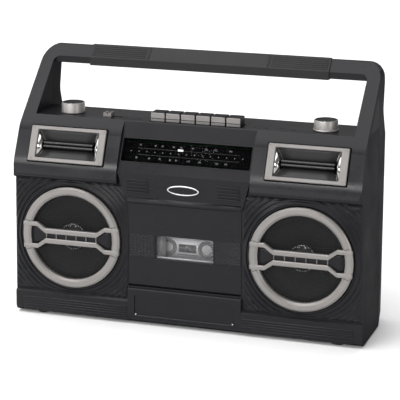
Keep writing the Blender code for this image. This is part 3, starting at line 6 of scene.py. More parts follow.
# %% Load the frame and note its size
import json
import math
import bmesh
import bpy
import numpy as np
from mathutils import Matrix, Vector


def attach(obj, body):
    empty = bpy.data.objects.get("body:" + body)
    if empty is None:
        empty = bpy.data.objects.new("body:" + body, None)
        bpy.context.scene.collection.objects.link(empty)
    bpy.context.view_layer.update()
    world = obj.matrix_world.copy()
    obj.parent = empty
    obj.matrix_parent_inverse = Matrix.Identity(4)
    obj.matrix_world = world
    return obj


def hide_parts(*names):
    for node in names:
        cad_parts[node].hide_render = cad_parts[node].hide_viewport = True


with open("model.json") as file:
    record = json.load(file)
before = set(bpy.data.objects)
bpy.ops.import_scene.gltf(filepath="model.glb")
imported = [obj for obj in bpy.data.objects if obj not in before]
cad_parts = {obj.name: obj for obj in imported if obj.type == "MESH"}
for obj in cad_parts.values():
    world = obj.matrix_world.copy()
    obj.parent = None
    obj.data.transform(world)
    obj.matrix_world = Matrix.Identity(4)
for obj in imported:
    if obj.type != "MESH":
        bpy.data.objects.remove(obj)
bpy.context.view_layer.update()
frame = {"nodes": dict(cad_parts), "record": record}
nodes = frame["nodes"]

# %% [markdown]
# Depths on this object are easiest to count backwards from the flat front panel, because the hood, the rings
# and the base band all stand a few millimetres in front of it. The flat front itself is depth 0.

# %% Places that many pieces share
MM = 0.001
FRONT = -45.9 * MM
LEFT, RIGHT = -1, 1
SIDE_DRAFT = 0.0185
HOOD_LEAN = math.atan2(17.5, 38.5)
DIAL_LEAN = math.atan2(24.5, 49.5)
FORWARD, REARWARD, UPWARD = (0, -1, 0), (0, 1, 0), (0, 0, 1)
print("leans in degrees:", [round(math.degrees(lean), 1) for lean in (HOOD_LEAN, DIAL_LEAN)])

# %% [markdown]
# The camera stands to the right of the object and a little above it, and a long lens keeps the front nearly
# free of perspective. Its rotation comes from two angles: how far round it stands and how far it looks down.

# %% Camera
CAMERA_ROUND = math.radians(18.671)
CAMERA_DOWN = math.radians(14.963)
camera_data = bpy.data.cameras.new("camera")
camera_data.lens = 156.7
camera_data.sensor_width = 36.0
camera = bpy.data.objects.new("camera", camera_data)
camera.location = (0.5650, -1.6676, 0.5980)
camera.rotation_euler = (math.pi / 2 - CAMERA_DOWN, 0.0, CAMERA_ROUND)
bpy.context.scene.collection.objects.link(camera)
bpy.context.scene.camera = camera
print("camera:", [round(value, 3) for value in camera.location])

# %% [markdown]
# Black plastic shows mostly what it reflects, so the lights matter more than its colour. One large softbox
# overhead makes the floor and the shelf bright. A long strip in front draws the bright line along the hood's
# nose, and narrow lights at both sides catch rounded edges. A light on the far floor whitens what lies behind
# the object and is hidden from reflections. The rest of the room stays dim, so upright faces stay dark.


# %% Floor, room light and softboxes
def softbox(name, place, target, size, watts):
    """An area light at a place that shines at a target."""
    data = bpy.data.lights.new(name, "AREA")
    data.shape = "RECTANGLE"
    data.size, data.size_y = size
    data.energy = watts
    light = bpy.data.objects.new(name, data)
    aim = Vector(target) - Vector(place)
    light.rotation_euler = aim.to_track_quat("-Z", "Y").to_euler()
    light.location = place
    bpy.context.scene.collection.objects.link(light)
    return light


def studio_floor(half):
    """A flat pale square under the object."""
    mesh = bpy.data.meshes.new("studio_floor")
    corners = [(-half, -half, 0.0), (half, -half, 0.0), (half, half, 0.0), (-half, half, 0.0)]
    mesh.from_pydata(corners, [], [(0, 1, 2, 3)])
    material = bpy.data.materials.new("pale_paper")
    material.use_nodes = True
    shader = material.node_tree.nodes["Principled BSDF"]
    shader.inputs["Base Color"].default_value = (0.86, 0.86, 0.86, 1.0)
    shader.inputs["Roughness"].default_value = 0.95
    shader.inputs["Specular IOR Level"].default_value = 0.1
    mesh.materials.append(material)
    floor = bpy.data.objects.new("studio_floor", mesh)
    bpy.context.scene.collection.objects.link(floor)
    return floor


studio_floor(14.0)
world = bpy.data.worlds.new("room")
world.use_nodes = True
world.node_tree.nodes["Background"].inputs["Color"].default_value = (1.0, 1.0, 1.0, 1.0)
world.node_tree.nodes["Background"].inputs["Strength"].default_value = 0.26
bpy.context.scene.world = world
softbox("overhead", (-0.7, -0.5, 2.5), (0.0, 0.0, 0.0), (2.8, 2.8), 86.0)
softbox("front_strip", (-0.8, -2.9, 1.15), (0.0, 0.0, 0.17), (3.2, 0.3), 60.0)
softbox("right_edge", (2.5, -1.5, 0.8), (0.0, 0.0, 0.15), (0.35, 1.5), 14.0)
softbox("left_side", (-2.6, -0.6, 0.9), (0.0, 0.0, 0.1), (0.8, 1.6), 10.0)
softbox("far_floor", (-0.6, 5.2, 2.6), (-0.6, 5.2, 0.0), (6.0, 5.0), 330.0).visible_glossy = False
bpy.context.scene.view_settings.view_transform = "Standard"

# %% [markdown]
# Every finish is a small node tree on Object coordinates, so its grain has a real size in millimetres and
# stays put when a piece moves. One function makes all moulded plastics: a fine spark-eroded grain as bump,
# a slow cloud that varies the gloss where hands have polished it, and a slight unevenness of colour.


# %% A moulded plastic or painted finish
def moulded(name, colour, roughness, metallic=0.0, grain=1400.0, depth=0.05, patch=0.12, shine=0.5):
    """Principled finish. Roughness = base + patch x slow cloud; colour = base x (0.88 to 1.12) by the same
    cloud; bump = fine noise of a given depth in millimetres; shine = how strongly a non-metal reflects."""
    material = bpy.data.materials.new(name)
    material.use_nodes = True
    tree = material.node_tree
    shader = tree.nodes["Principled BSDF"]
    shader.inputs["Metallic"].default_value = metallic
    shader.inputs["Specular IOR Level"].default_value = shine
    place = tree.nodes.new("ShaderNodeTexCoord")
    cloud = tree.nodes.new("ShaderNodeTexNoise")
    cloud.inputs["Scale"].default_value = 26.0
    cloud.inputs["Detail"].default_value = 4.0
    tree.links.new(place.outputs["Object"], cloud.inputs["Vector"])
    gloss = tree.nodes.new("ShaderNodeMapRange")
    gloss.inputs["From Min"].default_value = 0.3
    gloss.inputs["From Max"].default_value = 0.7
    gloss.inputs["To Min"].default_value = roughness - patch / 2
    gloss.inputs["To Max"].default_value = roughness + patch / 2
    tree.links.new(cloud.outputs["Fac"], gloss.inputs["Value"])
    tree.links.new(gloss.outputs["Result"], shader.inputs["Roughness"])
    tint = tree.nodes.new("ShaderNodeMix")
    tint.data_type = "RGBA"
    tint.inputs["A"].default_value = (*[channel * 0.88 for channel in colour], 1.0)
    tint.inputs["B"].default_value = (*[min(channel * 1.12, 1.0) for channel in colour], 1.0)
    tree.links.new(cloud.outputs["Fac"], tint.inputs["Factor"])
    tree.links.new(tint.outputs["Result"], shader.inputs["Base Color"])
    fine = tree.nodes.new("ShaderNodeTexNoise")
    fine.inputs["Scale"].default_value = grain
    fine.inputs["Detail"].default_value = 2.0
    tree.links.new(place.outputs["Object"], fine.inputs["Vector"])
    bump = tree.nodes.new("ShaderNodeBump")
    bump.inputs["Strength"].default_value = 0.6
    bump.inputs["Distance"].default_value = depth * MM
    tree.links.new(fine.outputs["Fac"], bump.inputs["Height"])
    tree.links.new(bump.outputs["Normal"], shader.inputs["Normal"])
    return material


def clear(name, colour, alpha, roughness):
    """A thin clear plastic: gloss on top, and mostly see-through."""
    material = moulded(name, colour, roughness, grain=300.0, depth=0.01, patch=0.03, shine=0.2)
    shader = material.node_tree.nodes["Principled BSDF"]
    shader.inputs["Alpha"].default_value = alpha
    return material


# %% The finishes of this object
FINISH = {
    "cabinet_black": moulded("shell_plastic", (0.0105, 0.0105, 0.0122), 0.31, shine=0.17),
    "dull_black": moulded("dull_plastic", (0.0105, 0.0105, 0.0125), 0.62, grain=1000.0, depth=0.08,
                          shine=0.03),
    "hood_black": moulded("hood_plastic", (0.0105, 0.0105, 0.0122), 0.3, shine=0.3),
    "panel_black": moulded("panel_plastic", (0.010, 0.010, 0.0115), 0.36, shine=0.17),
    "grip_black": moulded("grip_plastic", (0.016, 0.016, 0.016), 0.5, grain=900.0, depth=0.08, shine=0.2),
    "silver_plastic": moulded("silver_paint", (0.235, 0.222, 0.213), 0.4, 0.55, grain=2200.0, depth=0.03),
    "key_silver": moulded("key_paint", (0.2, 0.19, 0.184), 0.38, 0.6, grain=1800.0, depth=0.03),
    "mesh_black": moulded("mesh_enamel", (0.016, 0.016, 0.0165), 0.45, 0.1, patch=0.15, shine=0.12),
    "cone_paper": moulded("cone_paper", (0.008, 0.008, 0.0085), 0.75, grain=500.0, depth=0.2),
    "steel": moulded("zinc_plate", (0.5, 0.51, 0.52), 0.36, 1.0, grain=160.0, depth=0.02, patch=0.2),
    "ferrite": moulded("ferrite", (0.05, 0.05, 0.054), 0.6, 0.2, grain=700.0, depth=0.1),
    "dial_glass": clear("dial_glass", (0.001, 0.001, 0.001), 0.05, 0.05),
    "scale_print": moulded("scale_print", (0.0012, 0.0012, 0.0014), 0.7, depth=0.01, shine=0.02),
    "pointer_white": moulded("pointer_white", (0.86, 0.86, 0.84), 0.4, depth=0.01),
    "clear_plastic": clear("door_window", (0.2, 0.2, 0.21), 0.1, 0.06),
    "tape_shell": moulded("tape_shell", (0.19, 0.19, 0.195), 0.36, grain=700.0),
    "reel_white": moulded("tape_pack", (0.05, 0.035, 0.026), 0.3, grain=2600.0, depth=0.02),
    "rubber": moulded("rubber", (0.018, 0.018, 0.018), 0.85, grain=600.0, depth=0.12),
    "brass": moulded("brass", (0.62, 0.45, 0.2), 0.3, 1.0, grain=300.0, depth=0.02, patch=0.15),
    "board_green": moulded("board_green", (0.03, 0.13, 0.05), 0.4, grain=220.0, depth=0.06),
    "chrome": moulded("chrome", (0.72, 0.72, 0.73), 0.1, 1.0, grain=90.0, depth=0.01, patch=0.08),
}


def paint(item, finish):
    """Puts one finish into every material slot of an object."""
    item.data.materials.clear()
    item.data.materials.append(finish)
    return item


for entry in frame["record"]["subparts"]:
    paint(nodes[entry["node"]], FINISH[entry["material_slot"]])
print("finishes:", len(FINISH), "on", len(nodes), "nodes")

# %% [markdown]
# New pieces are grids of points worked out with numpy. A grid has rows and columns, and every little square
# between four neighbours becomes one face. A path that closes on itself wraps its last row onto its first.
# Several grids can go into one mesh, and points that meet are merged so that the piece is one closed skin.


# %% Grids of points into a mesh
def grid_faces(rows, columns, wrap_rows=False, wrap_columns=False):
    """Index rows of the squares between point (i, j) and (i+1, j), (i+1, j+1), (i, j+1)."""
    i = np.arange(rows if wrap_rows else rows - 1)
    j = np.arange(columns if wrap_columns else columns - 1)
    i, j = np.meshgrid(i, j, indexing="ij")
    below, beside = (i + 1) % rows, (j + 1) % columns
    squares = (i * columns + j, below * columns + j, below * columns + beside, i * columns + beside)
    return np.stack(squares, axis=-1).reshape(-1, 4)


def grid(x, y, z, wrap_rows=False, wrap_columns=False):
    """One patch from three arrays of the same shape, in millimetres: x, and y as a depth, and z."""
    x, y, z = np.broadcast_arrays(x, y, z)
    points = np.stack((x * MM, FRONT + y * MM, z * MM), axis=-1)
    return points.reshape(-1, 3), grid_faces(x.shape[0], x.shape[1], wrap_rows, wrap_columns)


def piece(name, patches, finish, body="cabinet", facing=None, wall=0.0, crease=35.0):
    """Makes one object from patches. Doubles are merged and faces turned outwards; an open sheet is turned
    to its facing direction and may get a wall behind it. Edges sharper than the crease angle stay sharp."""
    points = np.concatenate([patch[0] for patch in patches])
    starts = np.cumsum([0] + [len(patch[0]) for patch in patches[:-1]])
    faces = [face for patch, start in zip(patches, starts) for face in (patch[1] + start).tolist()]
    mesh = bpy.data.meshes.new(name)
    mesh.from_pydata(points.tolist(), [], faces)
    shape = bmesh.new()
    shape.from_mesh(mesh)
    bmesh.ops.remove_doubles(shape, verts=shape.verts, dist=2e-6)
    bmesh.ops.dissolve_degenerate(shape, edges=shape.edges, dist=1e-7)
    bmesh.ops.recalc_face_normals(shape, faces=shape.faces)
    if facing is not None:
        total = sum((face.normal * face.calc_area() for face in shape.faces), Vector())
        if total.dot(Vector(facing)) < 0:
            bmesh.ops.reverse_faces(shape, faces=shape.faces)
    shape.to_mesh(mesh)
    shape.free()
    item = bpy.data.objects.new(name, mesh)
    bpy.context.scene.collection.objects.link(item)
    mesh.shade_smooth()
    mesh.set_sharp_from_angle(angle=math.radians(crease))
    if wall:
        skin = item.modifiers.new("wall", "SOLIDIFY")
        skin.thickness = wall * MM
        skin.offset = -1.0
    paint(item, FINISH[finish])
    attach(item, body)
    return item


def lathe(profile, centre, axis, steps=96):
    """A profile of (radius, place) points turned about an axis. Around Y: x = cx + r cos t, z = cz + r sin t,
    and the place is a depth. Around Z: x = cx + r cos t, depth = cy + r sin t, and the place is a height."""
    radius, place = np.array(profile, float).T
    turn = np.linspace(0.0, 2 * math.pi, steps, endpoint=False)
    across = radius[:, None] * np.cos(turn)
    along = radius[:, None] * np.sin(turn)
    fixed = place[:, None] + 0 * turn
    if axis == "Y":
        return grid(centre[0] + across, fixed, centre[1] + along, wrap_columns=True)
    return grid(centre[0] + across, centre[1] + along, fixed, wrap_columns=True)


# %% [markdown]
# The cabinet halves, the door and the covers are right in the CAD, but a moulded edge is never sharp. A copy
# of the CAD mesh is merged, its flat areas are joined up, and a live Bevel rounds each edge so that it
# catches the light. The copy stands for the CAD node.


# %% Copies of CAD shells with softened edges
def shade_zones(item):
    """Sides and undersides, whose normals point mostly across or down, get the duller and coarser grain of
    the mould's sliding cores. The hood's wings, which face forwards and lean back, are polished."""
    mesh = item.data
    item.data.materials.append(FINISH["dull_black"])
    item.data.materials.append(FINISH["hood_black"])
    normals = np.empty(len(mesh.polygons) * 3)
    mesh.polygons.foreach_get("normal", normals)
    across, forward, up = np.abs(normals[0::3]), -normals[1::3], normals[2::3]
    centres = np.empty(len(mesh.polygons) * 3)
    mesh.polygons.foreach_get("center", centres)
    hood = (up > 0.03) & (up < 0.43) & (forward > 0.8) & (np.abs(centres[0::3]) > 64 * MM)
    hood &= (centres[2::3] > 155 * MM) & (centres[2::3] < 214 * MM)
    rubbed = (across > 0.9) | (up < -0.6)
    mesh.polygons.foreach_set("material_index", (rubbed + 2 * (hood & ~rubbed)).astype(np.int32))


def softened(name, radius, finish, body="cabinet", joined=None, zoned=False):
    """A merged copy of a CAD node with a bevel of that radius on every edge sharper than 30 degrees. Where a
    joined node is named, both are one moulding on the real object, so the seam between them is closed.
    Where zoned is set, its faces are shared out between three finishes by shade_zones."""
    shape = bmesh.new()
    shape.from_mesh(nodes[name].data)
    if joined is not None:
        shape.from_mesh(lowered_copy(joined))
        bmesh.ops.remove_doubles(shape, verts=shape.verts, dist=4e-5)
        level = SEAM_Z * MM
        lids = [face for face in shape.faces if all(abs(corner.co.z - level) < 3e-5 for corner in face.verts)]
        bmesh.ops.delete(shape, geom=lids, context="FACES")
    bmesh.ops.remove_doubles(shape, verts=shape.verts, dist=1e-6)
    bmesh.ops.dissolve_limit(
        shape, angle_limit=math.radians(0.3), verts=shape.verts, edges=shape.edges, delimit=set()
    )
    mesh = bpy.data.meshes.new(name + "_soft")
    shape.to_mesh(mesh)
    faces, loose = len(shape.faces), sum(not edge.is_manifold for edge in shape.edges)
    shape.free()
    item = bpy.data.objects.new(name + "_soft", mesh)
    bpy.context.scene.collection.objects.link(item)
    mesh.shade_smooth()
    mesh.set_sharp_from_angle(angle=math.radians(30.0))
    bevel = item.modifiers.new("soft_edges", "BEVEL")
    bevel.width = radius * MM
    bevel.segments = 2
    bevel.limit_method = "ANGLE"
    bevel.angle_limit = math.radians(30.0)
    bevel.use_clamp_overlap = True
    bevel.harden_normals = True
    paint(item, FINISH[finish])
    if zoned:
        shade_zones(item)
    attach(item, body)
    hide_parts(*[node for node in (name, joined) if node])
    print(name, "softened:", faces, "faces,", loose, "open edges")
    return item


SEAM_Z = 214.5


def lowered_copy(name):
    """A copy of a node whose lowest points slide down along their own edges to the seam's height: with the
    edge from a higher point P to a low point Q, Q moves to Q + (Q - P) x (drop needed / rise of the edge)."""
    mesh = nodes[name].data.copy()
    points = np.empty(len(mesh.vertices) * 3)
    mesh.vertices.foreach_get("co", points)
    points = points.reshape(-1, 3)
    edges = np.empty(len(mesh.edges) * 2, int)
    mesh.edges.foreach_get("vertices", edges)
    edges = edges.reshape(-1, 2)
    edges = np.concatenate((edges, edges[:, ::-1]))
    lowest = points[:, 2] < points[:, 2].min() + 2e-5
    legs = edges[lowest[edges[:, 0]] & ~lowest[edges[:, 1]]]
    low, high = points[legs[:, 0]], points[legs[:, 1]]
    steep = np.argsort((high[:, 2] - low[:, 2]) / np.linalg.norm(high - low, axis=1))
    legs, low, high = legs[steep], low[steep], high[steep]
    share = (low[:, 2] - SEAM_Z * MM) / (high[:, 2] - low[:, 2])
    points[legs[:, 0]] = low + (low - high) * share[:, None]
    mesh.vertices.foreach_set("co", points.reshape(-1))
    return mesh


softened("front_cabinet", 0.9, "cabinet_black", joined="handle_frame", zoned=True)
softened("rear_cabinet", 0.9, "cabinet_black", zoned=True)
softened("cassette_door", 0.5, "cabinet_black", "cassette_door")
softened("battery_cover", 0.5, "cabinet_black", "battery_cover")

# %% [markdown]
# Each speaker sits in a square panel whose corners carry ridges that follow the ring like ripples. The panel
# is a sheet in polar form: the first parameter goes round the speaker, and the second goes from the ring out
# to the panel's straight edges. Its height depends only on the radius, as a row of soft steps.

# %% Rippled speaker panels
SPEAKER_X, SPEAKER_Z = 124.7, 88.0
RING_RADIUS, RING_INNER = 54.4, 45.5
RIPPLE_START, RIPPLE_PITCH, RIPPLE_HEIGHT = 57.2, 4.7, 1.7


def ripple(radius):
    """Height at a radius: in each pitch a steep rise over its first fifth, then a slow fall."""
    phase = np.mod((radius - RIPPLE_START) / RIPPLE_PITCH, 1.0)
    rise = np.clip(phase / 0.2, 0.0, 1.0)
    fall = 1.0 - np.clip((phase - 0.2) / 0.8, 0.0, 1.0)
    soft = rise * rise * (3 - 2 * rise) * fall
    return np.where(radius > RIPPLE_START, soft * RIPPLE_HEIGHT, 0.0)


def speaker_panel(label, side):
    """Grid of (angle, share): radius = start + share x (edge distance - start). The edge distance is the
    least of the distances to the four straight sides along that angle. Ripples fade over the last 2 mm."""
    low, high = 27.4 - SPEAKER_Z, 149.2 - SPEAKER_Z
    inner, outer = 62.9 - SPEAKER_X, 188.6 - SPEAKER_X
    corners = [math.atan2(v, u) for u in (inner, outer) for v in (low, high)]
    turn = np.sort(np.concatenate([np.linspace(-math.pi, math.pi, 288, endpoint=False), corners]))
    u, v = np.cos(turn), np.sin(turn)
    with np.errstate(divide="ignore"):
        reach_u = np.where(u > 0, outer / u, inner / u)
        reach_v = np.where(v > 0, high / v, low / v)
    reach = np.minimum(np.abs(reach_u), np.abs(reach_v))
    share = np.linspace(0.0, 1.0, 76)
    start = RING_RADIUS - 0.6
    radius = start + share[None, :] * (reach[:, None] - start)
    lean = SIDE_DRAFT * (radius * v[:, None]) * (u[:, None] > 0) * share
    x = SPEAKER_X + radius * u[:, None] - lean
    z = SPEAKER_Z + radius * v[:, None]
    edge = np.minimum(reach[:, None] - radius, 2.0) / 2.0
    depth = -0.25 - ripple(radius) * np.clip(edge, 0.0, 1.0)
    sheet = grid(side * x, depth, z, wrap_rows=True)
    return piece("speaker_panel_" + label, [sheet], "cabinet_black", facing=FORWARD, wall=0.2, crease=50)


# %% [markdown]
# The ring is a turned moulding: a short outer wall, a bevel, a flat face that narrows to an inner bevel. Two
# bars cross it. They run close together over the middle, spread apart near the ends, and run out over the
# ring's face, a quarter of a millimetre proud of it. A black plate fills the gap, with six silver ticks.

# %% Rings, bars and ticks
BAR_STATIONS = np.array([-53.6, -52.6, -45.0, -38.0, -28.7, 28.7, 38.0, 45.0, 52.6, 53.6])
BAR_MIDDLE = np.array([12.0, 12.0, 12.0, 12.0, 5.4, 5.4, 12.0, 12.0, 12.0, 12.0])
BAR_HALF = 2.3


def bar_section(half, front, rear, bevel=0.7):
    """(across, depth) points of a bar's section, from the rear over the bevelled front to the rear."""
    return np.array([
        (-half, rear), (-half, front + bevel), (-half + bevel, front),
        (half - bevel, front), (half, front + bevel), (half, rear),
    ])


def ring_bar(side, sign):
    """The section carried along the bar: x = station, z = middle(station) + across x stretch, where the
    stretch widens the sloping runs so that the bar keeps its thickness."""
    x = BAR_STATIONS
    slope = np.gradient(BAR_MIDDLE, x)
    stretch = np.sqrt(1 + slope * slope)
    stretch[np.abs(x) > 40] = 1.0
    section = bar_section(BAR_HALF, -5.0, -1.0)
    across, depth = section.T
    z = BAR_MIDDLE[:, None] + across[None, :] * stretch[:, None]
    depth = np.repeat(depth[None, :], len(x), axis=0)
    ends = np.abs(x) > 53.0
    depth[ends] = np.maximum(depth[ends], -4.2)
    return grid(side * SPEAKER_X + x[:, None] + 0 * z, depth, SPEAKER_Z + sign * z, wrap_columns=True)


SPLIT_TURNS = [sign * turn for sign in (1, -1) for turn in (0.315, math.pi - 0.315)]


def split_line(centre_x, turn):
    """A dark hairline across the ring's face beside a bar's end: a strip 0.56 mm wide along a radius."""
    radius = np.array([RING_INNER + 2.2, RING_RADIUS - 1.6])[:, None]
    across = np.array([-0.28, 0.28])[None, :]
    x = centre_x + radius * math.cos(turn) - across * math.sin(turn)
    z = SPEAKER_Z + radius * math.sin(turn) + across * math.cos(turn)
    return grid(x, -4.8, z)


def speaker_trim(label, side):
    """The ring with its two bars, a flat black band of painted shadow round it for the gap, the split lines,
    the plate and the ticks.
    """
    x = side * SPEAKER_X
    ring = [
        (RING_RADIUS, -0.1), (RING_RADIUS, -3.2), (RING_RADIUS - 1.7, -4.6), (RING_RADIUS - 2.0, -4.75),
        (RING_INNER + 2.7, -4.75), (RING_INNER + 2.4, -4.6), (RING_INNER + 0.3, -2.9),
        (RING_INNER, -1.6), (RING_INNER, 0.6), (RING_RADIUS - 6.0, 0.6), (RING_RADIUS - 6.0, -0.1),
        (RING_RADIUS, -0.1),
    ]
    trim = piece(
        "speaker_trim_" + label,
        [lathe(ring, (x, SPEAKER_Z), "Y", 144), ring_bar(side, 1), ring_bar(side, -1)],
        "silver_plastic", crease=18,
    )
    splits = [split_line(x, turn) for turn in SPLIT_TURNS]
    # Painted shadow: a flat black band just outside the ring stands for the shade in the gap between ring and
    # panel.
    gap_shadow = lathe([(RING_RADIUS + 1.3, -0.32), (RING_RADIUS - 0.3, -0.32)], (x, SPEAKER_Z), "Y", 144)
    piece("ring_painted_shadow_" + label, [gap_shadow], "scale_print", facing=FORWARD, wall=0.05)
    piece("ring_splits_" + label, splits, "panel_black", facing=FORWARD)
    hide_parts("speaker_ring_" + label)
    stations = np.array([-45.6, -38.6, -29.0, 29.0, 38.6, 45.6])
    half = np.array([10.4, 10.4, 3.6, 3.6, 10.4, 10.4])
    share = np.linspace(-1.0, 1.0, 5)
    plate = grid(x + stations[:, None] + 0 * share, -2.2 + 0 * share, SPEAKER_Z + half[:, None] * share)
    piece("bar_plate_" + label, [plate], "panel_black", facing=FORWARD, wall=0.8)
    middles = (np.arange(6) - 2.5) * 11.2
    ticks = [bar_tick(x + middle) for middle in middles]
    piece("bar_ticks_" + label, ticks, "silver_plastic")


def bar_tick(middle):
    """One upright tick: a half-round rib, x = middle + 0.62 cos t, depth = -2.4 - 1.5 sin t, smaller at both
    ends."""
    t = np.linspace(0.0, math.pi, 7)
    z = np.array([-3.4, -3.3, 3.3, 3.4])[:, None]
    size = np.array([0.6, 1.0, 1.0, 0.6])[:, None]
    return grid(middle + 0.62 * size * np.cos(t), -2.4 - 1.5 * size * np.sin(t), SPEAKER_Z + z + 0 * t)


# %% [markdown]
# The speaker mesh is real punched steel: a honeycomb of six-sided holes. One cell is a hexagon with a smaller
# hexagon cut from it, which makes six squares, and numpy lays out every cell of the disc at once. Through the
# holes the cone can just be seen, with a painted highlight on the rim of its cap and two painted glints.

# %% Punched speaker mesh
CELL_PITCH = 2.8
HOLE_SHARE = 0.76


def punched_disc(centre_x, radius):
    """Cell centres on a triangular lattice, kept inside the radius. Corner k of a cell is its centre plus
    pitch / sqrt 3 x (sin, cos) of 60 k degrees; the hole's corners are those times the hole's share. The
    sheet is domed: depth = 0.9 - 1.2 x (1 - (distance from the middle / radius) squared)."""
    count = int(radius / CELL_PITCH) + 2
    i, j = np.meshgrid(np.arange(-count, count + 1), np.arange(-count, count + 1), indexing="ij")
    u = (i + 0.5 * (j % 2)) * CELL_PITCH
    v = j * CELL_PITCH * math.sqrt(3) / 2
    keep = np.hypot(u, v) < radius
    u, v = u[keep], v[keep]
    turn = np.arange(6) * math.pi / 3
    outer = CELL_PITCH / math.sqrt(3)
    ring = np.stack((np.sin(turn), np.cos(turn)), axis=-1)
    corners = np.stack((ring * outer, ring * outer * HOLE_SHARE))
    points = np.stack((u, v), axis=-1)[:, None, None, :] + corners[None]
    k = np.arange(6)
    nxt = (k + 1) % 6
    cell = np.stack((k, nxt, nxt + 6, k + 6), axis=-1)
    faces = (np.arange(len(u))[:, None, None] * 12 + cell[None]).reshape(-1, 4)
    flat = points.reshape(-1, 2)
    dome = 0.9 - 1.2 * (1 - (np.hypot(flat[:, 0], flat[:, 1]) / radius) ** 2)
    place = np.stack((centre_x + flat[:, 0], dome, SPEAKER_Z + flat[:, 1]), axis=-1) * MM
    place[:, 1] += FRONT
    return place, faces


# A light grey used as painted highlight on the cone's cap: its rim and two glints behind the mesh.
FINISH["cap_painted_highlight"] = moulded("cap_painted_highlight", (0.42, 0.42, 0.43), 0.35, 0.3, depth=0.01)


def speaker_mesh(label, side):
    """The punched sheet and its rim, and behind it the cone's cap with a painted highlight on its rim and two
    small painted glints.
    """
    x = side * SPEAKER_X
    rim = [(46.4, 0.7), (48.5, 0.7), (48.5, 1.6), (46.4, 1.6), (46.4, 0.7)]
    holes = piece(
        "mesh_sheet_" + label, [punched_disc(x, 47.2)], "mesh_black", facing=FORWARD, wall=0.35, crease=20
    )
    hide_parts("speaker_grille_" + label)
    piece("mesh_rim_" + label, [lathe(rim, (x, SPEAKER_Z), "Y")], "mesh_black")
    cap = [(0.01, 3.6), (5.0, 4.0), (9.0, 5.2), (12.0, 7.2), (12.6, 8.6)]
    piece("cone_cap_" + label, [lathe(cap, (x, SPEAKER_Z), "Y")], "ferrite",
          facing=FORWARD, wall=0.4)
    # Painted highlights: a grey rim turn and two small grey domes stand for the light on the cap's rim and
    # two glints on the cap.
    rim_turn = lathe([(12.9, 2.6), (13.3, 2.0), (13.9, 2.6)], (x, SPEAKER_Z), "Y", 64)
    glint = [(0.02, 1.7), (1.1, 2.0), (1.6, 3.0)]
    glints = [lathe(glint, (x + u, SPEAKER_Z + 11.4), "Y", 16) for u in (-3.6, 3.2)]
    piece("cap_rim_painted_highlight_" + label, [rim_turn] + glints, "cap_painted_highlight", facing=FORWARD)
    print("mesh", label, "cells:", len(holes.data.polygons) // 6)


for label, side in (("left", LEFT), ("right", RIGHT)):
    speaker_panel(label, side)
    speaker_trim(label, side)
    speaker_mesh(label, side)

# %% [markdown]
# Each tweeter hides behind a silver frame that leans with the hood. Everything in it is laid out flat, with u
# to the right, v up the face and d out of it, and then one function leans it into place. Inside the frame two
# black plates slope back to a double bar in the middle, and silver facets close the ends.

# %% Leaning faces
HOOD_POINT = (-7.5 + (186.0 - 165.0) * math.tan(HOOD_LEAN), 186.0)
DIAL_POINT = (-5.0 + (186.0 - 164.0) * math.tan(DIAL_LEAN), 186.0)


def leaning(u, v, d, x, point, lean, **wraps):
    """Depth = point + v sin(lean) - d cos(lean); z = point + v cos(lean) + d sin(lean)."""
    u, v, d = np.broadcast_arrays(u, v, d)
    depth = point[0] + v * math.sin(lean) - d * math.cos(lean)
    z = point[1] + v * math.cos(lean) + d * math.sin(lean)
    return grid(x + u, depth, z, **wraps)


def rounded_path(half_u, half_v, radius, corner_steps=6):
    """Points round a rectangle with round corners: each corner's centre plus radius x (cos t, sin t)."""
    quarter = np.linspace(0.0, math.pi / 2, corner_steps)
    turn = (np.arange(4)[:, None] * math.pi / 2 + quarter[None, :]).reshape(-1)
    sign_u = np.repeat([1, -1, -1, 1], corner_steps)
    sign_v = np.repeat([1, 1, -1, -1], corner_steps)
    u = sign_u * (half_u - radius) + radius * np.cos(turn)
    v = sign_v * (half_v - radius) + radius * np.sin(turn)
    return u, v


def frame_patch(steps, x, point, lean, corner_steps=6):
    """A frame moulding: each step is (half u, half v, corner radius, d), and the steps join up in a loop."""
    paths = [rounded_path(half_u, half_v, radius, corner_steps) for half_u, half_v, radius, _ in steps]
    u = np.stack([path[0] for path in paths])
    v = np.stack([path[1] for path in paths])
    d = np.array([step[3] for step in steps])[:, None]
    return leaning(u, v, d, x, point, lean, wrap_rows=True, wrap_columns=True)


def plate_patch(corners, x, point, lean, rows=2, columns=2):
    """A flat or ruled patch between four corners (u, v, d): a two-way blend of them."""
    a, b, c, e = (np.array(corner, float) for corner in corners)
    s = np.linspace(0, 1, rows)[:, None, None]
    t = np.linspace(0, 1, columns)[None, :, None]
    blend = a * (1 - s) * (1 - t) + b * (1 - s) * t + c * s * t + e * s * (1 - t)
    return leaning(blend[..., 0], blend[..., 1], blend[..., 2], x, point, lean)


# %% [markdown]
# The frame is a broad silver moulding with a small square mark in each corner, and a flat black band of
# painted shadow marks the gap where it sits in the hood. Its section is a list of steps, and each step is a
# rectangle a little further in.


# %% Tweeter frames
BEZEL_X, BEZEL_WIDE, BEZEL_HIGH = 128.8, 41.75, 18.75
HOOD_OUT = (0, -math.cos(HOOD_LEAN), math.sin(HOOD_LEAN))
FINISH["bezel_silver"] = moulded(
    "bezel_paint", (0.2, 0.19, 0.184), 0.42, 0.55, grain=2200.0, depth=0.03
)


def inset(side, top, radius, out):
    """One step of the frame: how far inside its outer edges it lies, its corner radius, and its d."""
    return (BEZEL_WIDE - side, BEZEL_HIGH - top, radius, out)


